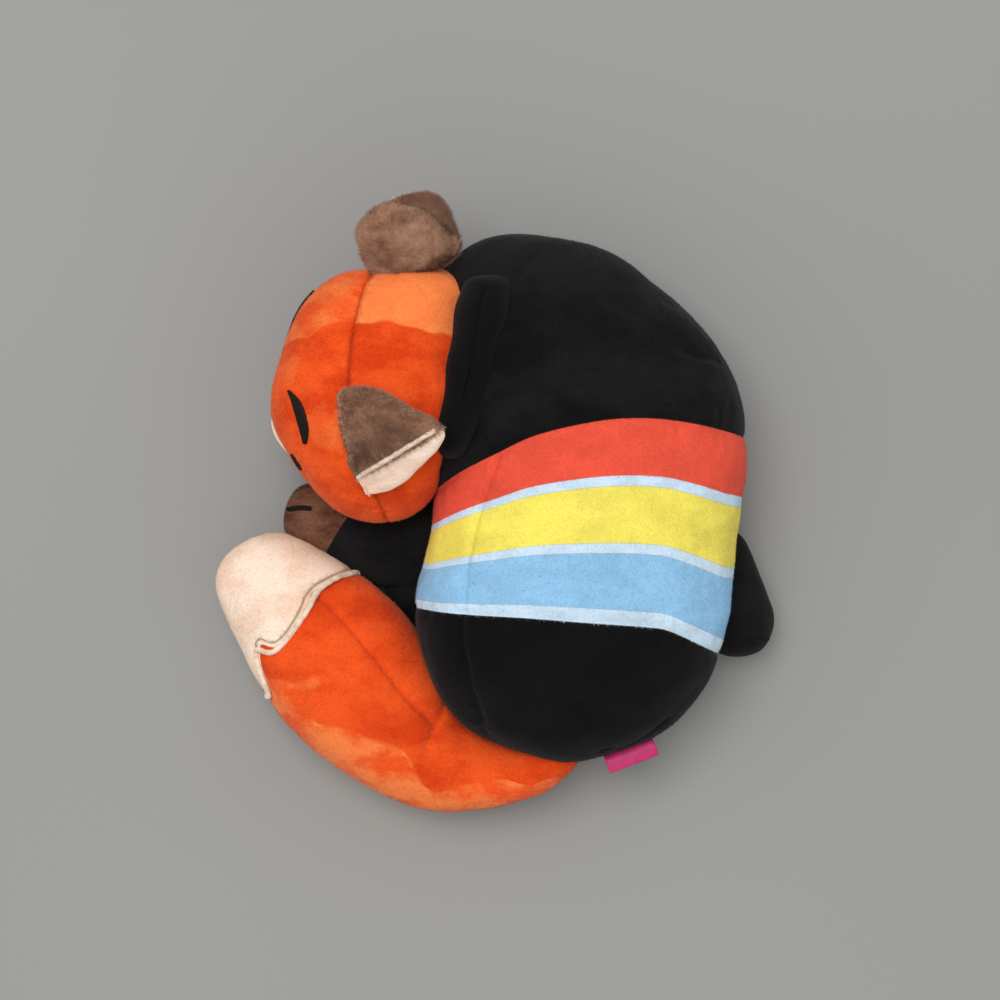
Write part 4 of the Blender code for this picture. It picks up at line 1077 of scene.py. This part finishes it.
near_leg, near_place = make_leg("near_foreleg", near_leg_form, 0.70, 31)
far_leg, far_place = make_leg("far_foreleg", far_leg_form, 0.62, 33)
hind_leg, _ = make_leg("outer_hind_leg", hind_leg_form, 2.0, 35)
inner_leg, _ = make_leg("inner_hind_leg", inner_leg_form, 2.0, 37, 20, 18)


# Hood
def make_hood():
    """The hood, folded down behind the neck."""
    path = [(NECK.x + x * HOOD_LENGTH, NECK.y + y * HOOD_LENGTH, HOOD_LIFT) for x, y in HOOD_PATH_SHARES]
    form = Limb(path, shares(HOOD_THICKNESS, HOOD_WIDTH_SHARES), shares(HOOD_HEIGHT, HOOD_HEIGHT_SHARES),
                HOOD_THICKNESS / 2)
    points, faces = form.mesh(28, 40)
    finish = plush("hood_pile", BLACK_DEEP, BLACK_DEEP, BLACK, 30.0, 0.04, (0.8, 0.8, 0.85))
    piece = build("hood_cover", points, faces, finish)
    divide(piece, 1)
    points = spots_of(piece)
    amount = fog(points, 0.014, 41) * 0.0011
    amount += seam(points, laid(tree_of(piece), HOOD_FOLD), 0.0022, 0.0016)
    raise_skin(piece, amount)
    return piece


hood = make_hood()


# Ears
def ear_axes(base_way, rise_way):
    """The way along an ear's foot, the way up the ear and the way out of its face."""
    rise = unit(np.array(rise_way, float))
    base = np.array(base_way, float)
    base = unit(base - rise * (base @ rise))
    return base, rise, np.cross(base, rise)


def ear_finish(name):
    """Brown longer pile on the back and a cream lining, with painted shade where the ear folds."""
    look = Finish(name)
    pile_bump(look, 0.7, 0.0007)
    brown = pile_colour(look, BROWN, BROWN_DEEP, BROWN_LIGHT, 110.0)
    # Painted shade: the brown is darkened where the ear folds
    brown = look.mix(look.math("MULTIPLY", look.kept("fold_shade"), 0.55), brown, dimmed(BROWN_DEEP, 0.55))
    cream = pile_colour(look, CREAM, CREAM_DEEP, CREAM, 70.0)
    colour = look.mix(look.span(look.kept("lining"), -0.0002, 0.0002), brown, cream)
    return look.close(colour, sheen=0.3, sheen_colour=(1.0, 0.85, 0.75))


def make_ear(label, root, axes, length, width, thickness, taper, fatness, back, divide_at, hollow, seed,
             unevenness, blunt):
    """An ear's cover, each point's side of its edge seam, and the way up the ear.

    Taper and fatness are shares of the width and the thickness from the foot to the tip. Back is how far
    the foot reaches into the head. The edge seam is a plane: its shift along the foot, and its way out.
    """
    base, rise, out = ear_axes(*axes)
    root = np.array(root)
    start = root - rise * back
    path = [start + rise * ((length + back) * share / 4) for share in range(5)]
    form = Limb(path, shares(width, taper), shares(thickness, fatness), 0.007, across=base, blunt_start=blunt)
    points, faces = form.mesh(48, 32)
    piece = build(f"ear_{label}_cover", points, faces, ear_finish(f"ear_{label}_pile"))
    divide(piece, 2)
    split = unit(base * divide_at[1][0] + rise * divide_at[1][1] + out * divide_at[1][2])
    points = spots_of(piece)
    edge = root + base * divide_at[0]
    side = -(points - edge) @ split
    rising = (points - root) @ rise
    dip = hollow * np.clip(side / 0.006, 0, 1) * np.clip((length - rising) / length, 0, 1)
    amount = (fog(points, 0.011, seed) + fog(points, 0.004, seed + 1) * 0.3) * unevenness
    raise_skin(piece, amount - dip)
    mark(piece, "lining", side)
    return piece, side, rise


NEAR_FOOT = (EAR_NEAR_ROOT[0], EAR_NEAR_ROOT[1], EAR_NEAR_ROOT[2] + NEAR_EAR_RAISE)
FAR_FOOT = (EAR_FAR_ROOT[0] + FAR_EAR_SHIFT[0], EAR_FAR_ROOT[1] + FAR_EAR_SHIFT[1], EAR_FAR_ROOT[2])
ear_near, near_side, near_rise = make_ear(
    "near", NEAR_FOOT, axes=((0.27, -0.93, -0.26), (0.86, 0.10, 0.36)), length=0.0285, width=0.0445,
    thickness=0.014, taper=(0.93, 0.92, 0.74, 0.43, 0.14), fatness=(0.72, 0.86, 0.80, 0.60, 0.34),
    back=0.0085, divide_at=(0.007, (-0.92, -0.30, 0.26)), hollow=0.002, seed=51, unevenness=0.0003,
    blunt=True)
ear_far, far_side, far_rise = make_ear(
    "far", FAR_FOOT, axes=((0.92, 0.39, 0), (-0.36, 0.85, 0.36)), length=0.0255, width=0.0350,
    thickness=0.015, taper=(0.96, 1.00, 1.04, 1.00, 0.80), fatness=(0.90, 1.00, 1.00, 0.95, 0.80),
    back=0.0055, divide_at=(0.0, (0, 0, 1)), hollow=0.002, seed=53, unevenness=0.0006, blunt=False)


def fold_far_ear():
    """The far ear's upper corner is folded down along a crease, and painted darker past it as shade."""
    crease = laid(tree_of(ear_far), FAR_EAR_CREASE)
    points, ways = spots_of(ear_far), ways_of(ear_far)
    amount = seam(points, crease, 0.0024, 0.0014)
    corner = np.clip(side_of(points, crease) / 0.008, 0, 1) * (points[:, 2] > FAR_FOOT[2])
    made = points + ways * amount[:, None]
    made[:, 2] -= corner ** 1.2 * 0.005
    set_spots(ear_far, made)
    mark(ear_far, "fold_shade", np.clip(side_of(points, crease) / 0.0015 + 0.3, 0, 1))


fold_far_ear()


def fold_near_ear():
    """The near ear's back is pressed in along a soft crease, with painted shade along it."""
    gap, _ = reach_of(spots_of(ear_near), laid(tree_of(ear_near), NEAR_EAR_FOLD))
    mark(ear_near, "fold_shade", bell(gap, 0.005) * (near_side < 0))
    raise_skin(ear_near, bell(gap, 0.004) * -0.0012)


fold_near_ear()
ear_roll = lifted(tree_of(ear_near), laid(tree_of(ear_near), NEAR_EAR_ROLL), 0.0001)


# Face
def head_spot(turn, lift, inset=0.0):
    """A point of the head's form, by its turn and lift in degrees."""
    return head_puff.points(np.radians([turn]), np.radians([lift]), inset)[0]


def on_head(turn, lift):
    """A point on the head's cover, and the way out of it."""
    spot, way, _, _ = head_tree.find_nearest(Vector(head_spot(turn, lift)))
    return np.array(spot), np.array(way)


def head_stroke(name, angles, width, finish):
    """A stitched line laid on the head by turns and lifts."""
    found = [on_head(turn, lift) for turn, lift in angles]
    return stroke(name, [spot for spot, _ in found], [way for _, way in found], width, 0.0008, finish)


def seen_stroke(name, tree, pixels, width, height, finish, profile):
    """A stitched line that the camera sees, laid on a form."""
    line = laid(tree, pixels, 3)
    ways = [np.array(tree.find_nearest(Vector(spot))[1]) for spot in line]
    return stroke(name, line, ways, width, height, finish, profile)


black_thread = thread_finish("black_satin_thread", THREAD)
eye_near = seen_stroke("eye_near_stitch", head_tree, NEAR_EYE, 0.0050, 0.0009, black_thread,
                       (0.22, 0.78, 1.0, 0.88, 0.40))
eye_far = head_stroke("eye_far_stitch", ((154, -8), (144, -2), (134, 1), (125, 3), (117, 4)), 0.0036,
                      black_thread)
mouth = seen_stroke("mouth_line", head_tree, MOUTH, 0.0040, 0.0008, black_thread,
                    (0.6, 0.9, 1.0, 0.9, 0.5))


def make_pad(name, middle, reach, base, height, finish, rings=16, around=48):
    """A domed patch on the head."""
    rows = []
    for ring in range(1, rings + 1):
        share = ring / rings
        for step in range(around):
            spin = math.tau * step / around
            turn = middle[0] + reach[0] * share * math.cos(spin)
            lift = middle[1] + reach[1] * share * math.sin(spin)
            rise = base + height * max(1 - share ** 2, 0) ** 0.5
            rows.append(head_spot(turn, lift, -rise))
    points = np.vstack([rows, [head_spot(*middle, -base - height), head_spot(*middle, 0.001)]])
    faces = []
    for step in range(around):
        beside = (step + 1) % around
        faces.append((len(points) - 2, step, beside))
        last = (rings - 1) * around
        faces.append((len(points) - 1, last + beside, last + step))
        for ring in range(rings - 1):
            low, high = ring * around, (ring + 1) * around
            faces.append((low + step, high + step, high + beside, low + beside))
    return build(name, points, faces, finish)


muzzle = make_pad("muzzle_patch", (203, -31), (22, 22), 0.0002, 0.0023,
                  plush("muzzle_pile", CREAM, CREAM_DEEP, CREAM))
nose = make_pad("nose_pad", (203, -46), (9, 7), 0.0050, 0.0038,
                plush("nose_pile", THREAD, BLACK_DEEP, THREAD), 10, 32)


# Stitches on the toes
def toe(name, form, piece, place, turn_from, turn_to):
    """A toe stitch across a leg, at a place along it."""
    tree = tree_of(piece)
    turns = np.radians(np.linspace(turn_from, turn_to, 7))
    guesses = form.points(np.full(7, place), turns)
    found = [tree.find_nearest(Vector(spot)) for spot in guesses]
    spots, ways = [np.array(row[0]) for row in found], [np.array(row[1]) for row in found]
    return stroke(name, spots, ways, 0.0018, 0.0007, black_thread, TOE_PROFILE)


near_toe = seen_stroke("near_toe_line", tree_of(near_leg), NEAR_TOE, 0.0020, 0.0020,
                       black_thread, TOE_PROFILE)
far_toe = toe("far_toe_line", far_leg_form, far_leg, 0.90, 215, 170)
hind_toe = toe("hind_toe_line", hind_leg_form, hind_leg, 0.88, 70, 30)


# Piping along the tail tip's seam and along the near ear's edge
cream_thread = plush("cream_piping", linear(240, 222, 200), linear(214, 186, 160), CREAM, 200.0)
tip_piping = piping("tail_tip_piping", tip_roll, 0.0022, cream_thread)
ear_piping = piping("near_ear_piping", ear_roll, 0.0020, cream_thread)


# Tag
def make_tag():
    """A bare ribbon folded in two, sewn into the rump's seam."""
    heading = np.array([math.cos(TAG_HEADING), math.sin(TAG_HEADING), 0.0])
    out = np.cross(heading, np.array([0, 0, 1.0]))
    hinge = np.array(JOINTS["tag_flap"]["pos_m"])
    reach = TAG_REACH
    rows = []
    profile = [(-0.002, 0.00055), (0.002, 0.00050), (reach - 0.0008, 0.00042), (reach - 0.0002, 0.00025),
               (reach, 0.0), (reach - 0.0002, -0.00025), (reach - 0.0008, -0.00042), (0.002, -0.00050),
               (-0.002, -0.00055)]
    count = 24
    loop = profile + [(u - (TAG_FOLD if u > reach - 0.0005 else 0), v * 0.35) for u, v in profile[::-1]]
    for step in range(count + 1):
        along = (step / count - 0.5) * TAG_LENGTH
        for u, v in loop:
            sway = 0.0003 * math.sin(step / count * 5.0) * max(u, 0) / reach
            rows.append(hinge + heading * along + out * u + np.array([0, 0, v + sway]))
    faces = tube_faces(len(loop), count + 1)
    look = Finish("magenta_satin")
    weave = look.nodes.new("ShaderNodeTexWave")
    weave.inputs["Scale"].default_value = 900.0
    weave.inputs["Distortion"].default_value = 0.6
    look.links.new(look.place, weave.inputs["Vector"])
    look.bump(weave.outputs["Fac"], 0.25, 0.0001)
    shade = look.mix(look.span(look.noise(400.0), 0.35, 0.65), dimmed(MAGENTA, 0.85), MAGENTA)
    return build("side_tag", np.array(rows), faces, look.close(shade, roughness=0.45, shine=0.4))


tag = make_tag()

# Fibres
ear_near_coat = fibres("ear_near_fibres", ear_near, 13, EAR_FIBRE, (0.6, -0.3, -0.2), 61,
                       ("lining", "fold_shade"), LOOSE_SAG, near_side < 0.0004)
ear_far_coat = fibres("ear_far_fibres", ear_far, 13, EAR_FIBRE, (-0.3, 0.7, 0.0), 62,
                      ("lining", "fold_shade"), LOOSE_SAG, far_side < 0.0004)
near_paw_coat = fibres("near_paw_fibres", near_leg, 10, PAW_FIBRE, (-0.6, 0.1, -0.2), 63,
                       ("along",), LOOSE_SAG, near_place > 0.71)
far_paw_coat = fibres("far_paw_fibres", far_leg, 6, PAW_FIBRE, (-0.6, -0.4, -0.2), 64,
                      ("along",), LOOSE_SAG, far_place > 0.64)
head_coat = fibres("head_fibres", head, 3, SKIN_FIBRE, (-0.5, -0.3, -0.4), 65,
                   ("behind", "nap_and_sheen"), FLAT_SAG)
tail_coat = fibres("tail_fibres", tail, 3, SKIN_FIBRE, (-0.5, 0.5, -0.2), 66, ("tip", "nap_and_sheen"), FLAT_SAG)
torso_coat = fibres("jersey_fibres", torso, 2, JERSEY_FIBRE, (0.1, -0.7, -0.2), 67, ("band",), FLAT_SAG)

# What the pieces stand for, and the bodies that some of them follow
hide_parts("head_face_skin", "head_back_skin", "head_filling")
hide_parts("torso_upper_skin", "torso_band_skin", "torso_rump_skin", "torso_filling")
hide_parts("hood")
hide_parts("tail_skin", "tail_tip_skin", "tail_filling")
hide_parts("near_foreleg_sleeve", "near_foreleg_paw", "near_foreleg_filling")
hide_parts("far_foreleg_sleeve", "far_foreleg_paw", "far_foreleg_filling")
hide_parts("outer_hind_leg_skin", "outer_hind_leg_filling")
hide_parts("inner_hind_leg_skin", "inner_hind_leg_filling")
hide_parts("ear_near_back", "ear_near_lining")
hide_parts("ear_far_back", "ear_far_lining")
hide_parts("muzzle")
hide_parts("nose")
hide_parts("eye_near")
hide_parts("eye_far")
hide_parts("mouth_stitch")
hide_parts("near_toe_stitch")
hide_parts("far_toe_stitch")
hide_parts("hind_toe_stitch")
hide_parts("tag")

for piece in (torso, torso_coat, hood, near_leg, near_paw_coat, far_leg, far_paw_coat, inner_leg, near_toe,
              far_toe):
    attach(piece, "body")
for piece in (muzzle, nose, eye_near, eye_far, mouth):
    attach(piece, "head")
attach(hind_toe, "outer_hind_leg")
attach(tag, "tag")

for piece in (head, head_coat):
    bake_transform(piece)
for piece in (tail, tail_coat):
    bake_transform(piece)
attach(tip_piping, "tail")
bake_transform(hind_leg)
for pieces, rise, foot, body in (((ear_near, ear_near_coat, ear_piping), near_rise, NEAR_FOOT, "ear_near"),
                                 ((ear_far, ear_far_coat), far_rise, FAR_FOOT, "ear_far")):
    for piece in pieces:
        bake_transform(piece)


# Floor, lights and camera
def stage():
    """A plain floor that fills the picture, soft light and the camera."""
    data = bpy.data.meshes.new("floor")
    corners = [(x * FLOOR_REACH, y * FLOOR_REACH, FLOOR_HEIGHT)
               for x, y in ((-1, -1), (1, -1), (1, 1), (-1, 1))]
    data.from_pydata(corners, [], [(0, 1, 2, 3)])
    look = Finish("floor_paper")
    look.bump(look.noise(900.0, 2.0), 0.05, 0.0001)
    tone = look.mix(look.span(look.noise(2.5, 1.0), 0.3, 0.7), linear(148, 148, 146), linear(153, 153, 150))
    data.materials.append(look.close(tone, roughness=0.8))
    floor = added("floor", data)

    world = bpy.data.worlds.new("studio")
    bpy.context.scene.world = world
    world.use_nodes = True
    nodes, links = world.node_tree.nodes, world.node_tree.links
    sky = nodes["Background"]
    sky.inputs["Color"].default_value = (1, 1, 1, 1)
    sky.inputs["Strength"].default_value = 0.68
    shown = nodes.new("ShaderNodeBackground")
    shown.inputs["Color"].default_value = (0.80, 0.80, 0.79, 1)
    path = nodes.new("ShaderNodeLightPath")
    seen = nodes.new("ShaderNodeMath")
    seen.operation = "MAXIMUM"
    links.new(path.outputs["Is Camera Ray"], seen.inputs[0])
    links.new(path.outputs["Is Transmission Ray"], seen.inputs[1])
    both = nodes.new("ShaderNodeMixShader")
    links.new(seen.outputs[0], both.inputs["Fac"])
    links.new(sky.outputs[0], both.inputs[1])
    links.new(shown.outputs[0], both.inputs[2])
    links.new(both.outputs[0], nodes["World Output"].inputs["Surface"])

    lamp_data = bpy.data.lights.new("overhead", "AREA")
    lamp_data.shape = "SQUARE"
    lamp_data.size = 1.3
    lamp_data.energy = 30.0
    lamp = added("overhead", lamp_data)
    lamp.location = LAMP
    lamp.rotation_euler = (-LAMP).to_track_quat("-Z", "Y").to_euler()

    lens = bpy.data.cameras.new("camera")
    lens.sensor_width = SENSOR
    lens.lens = SENSOR * (CAMERA.z - PLANE) / (PITCH * IMAGE)
    eye = added("camera", lens)
    eye.location = CAMERA
    bpy.context.scene.camera = eye
    bpy.context.scene.view_settings.view_transform = "Standard"


stage()
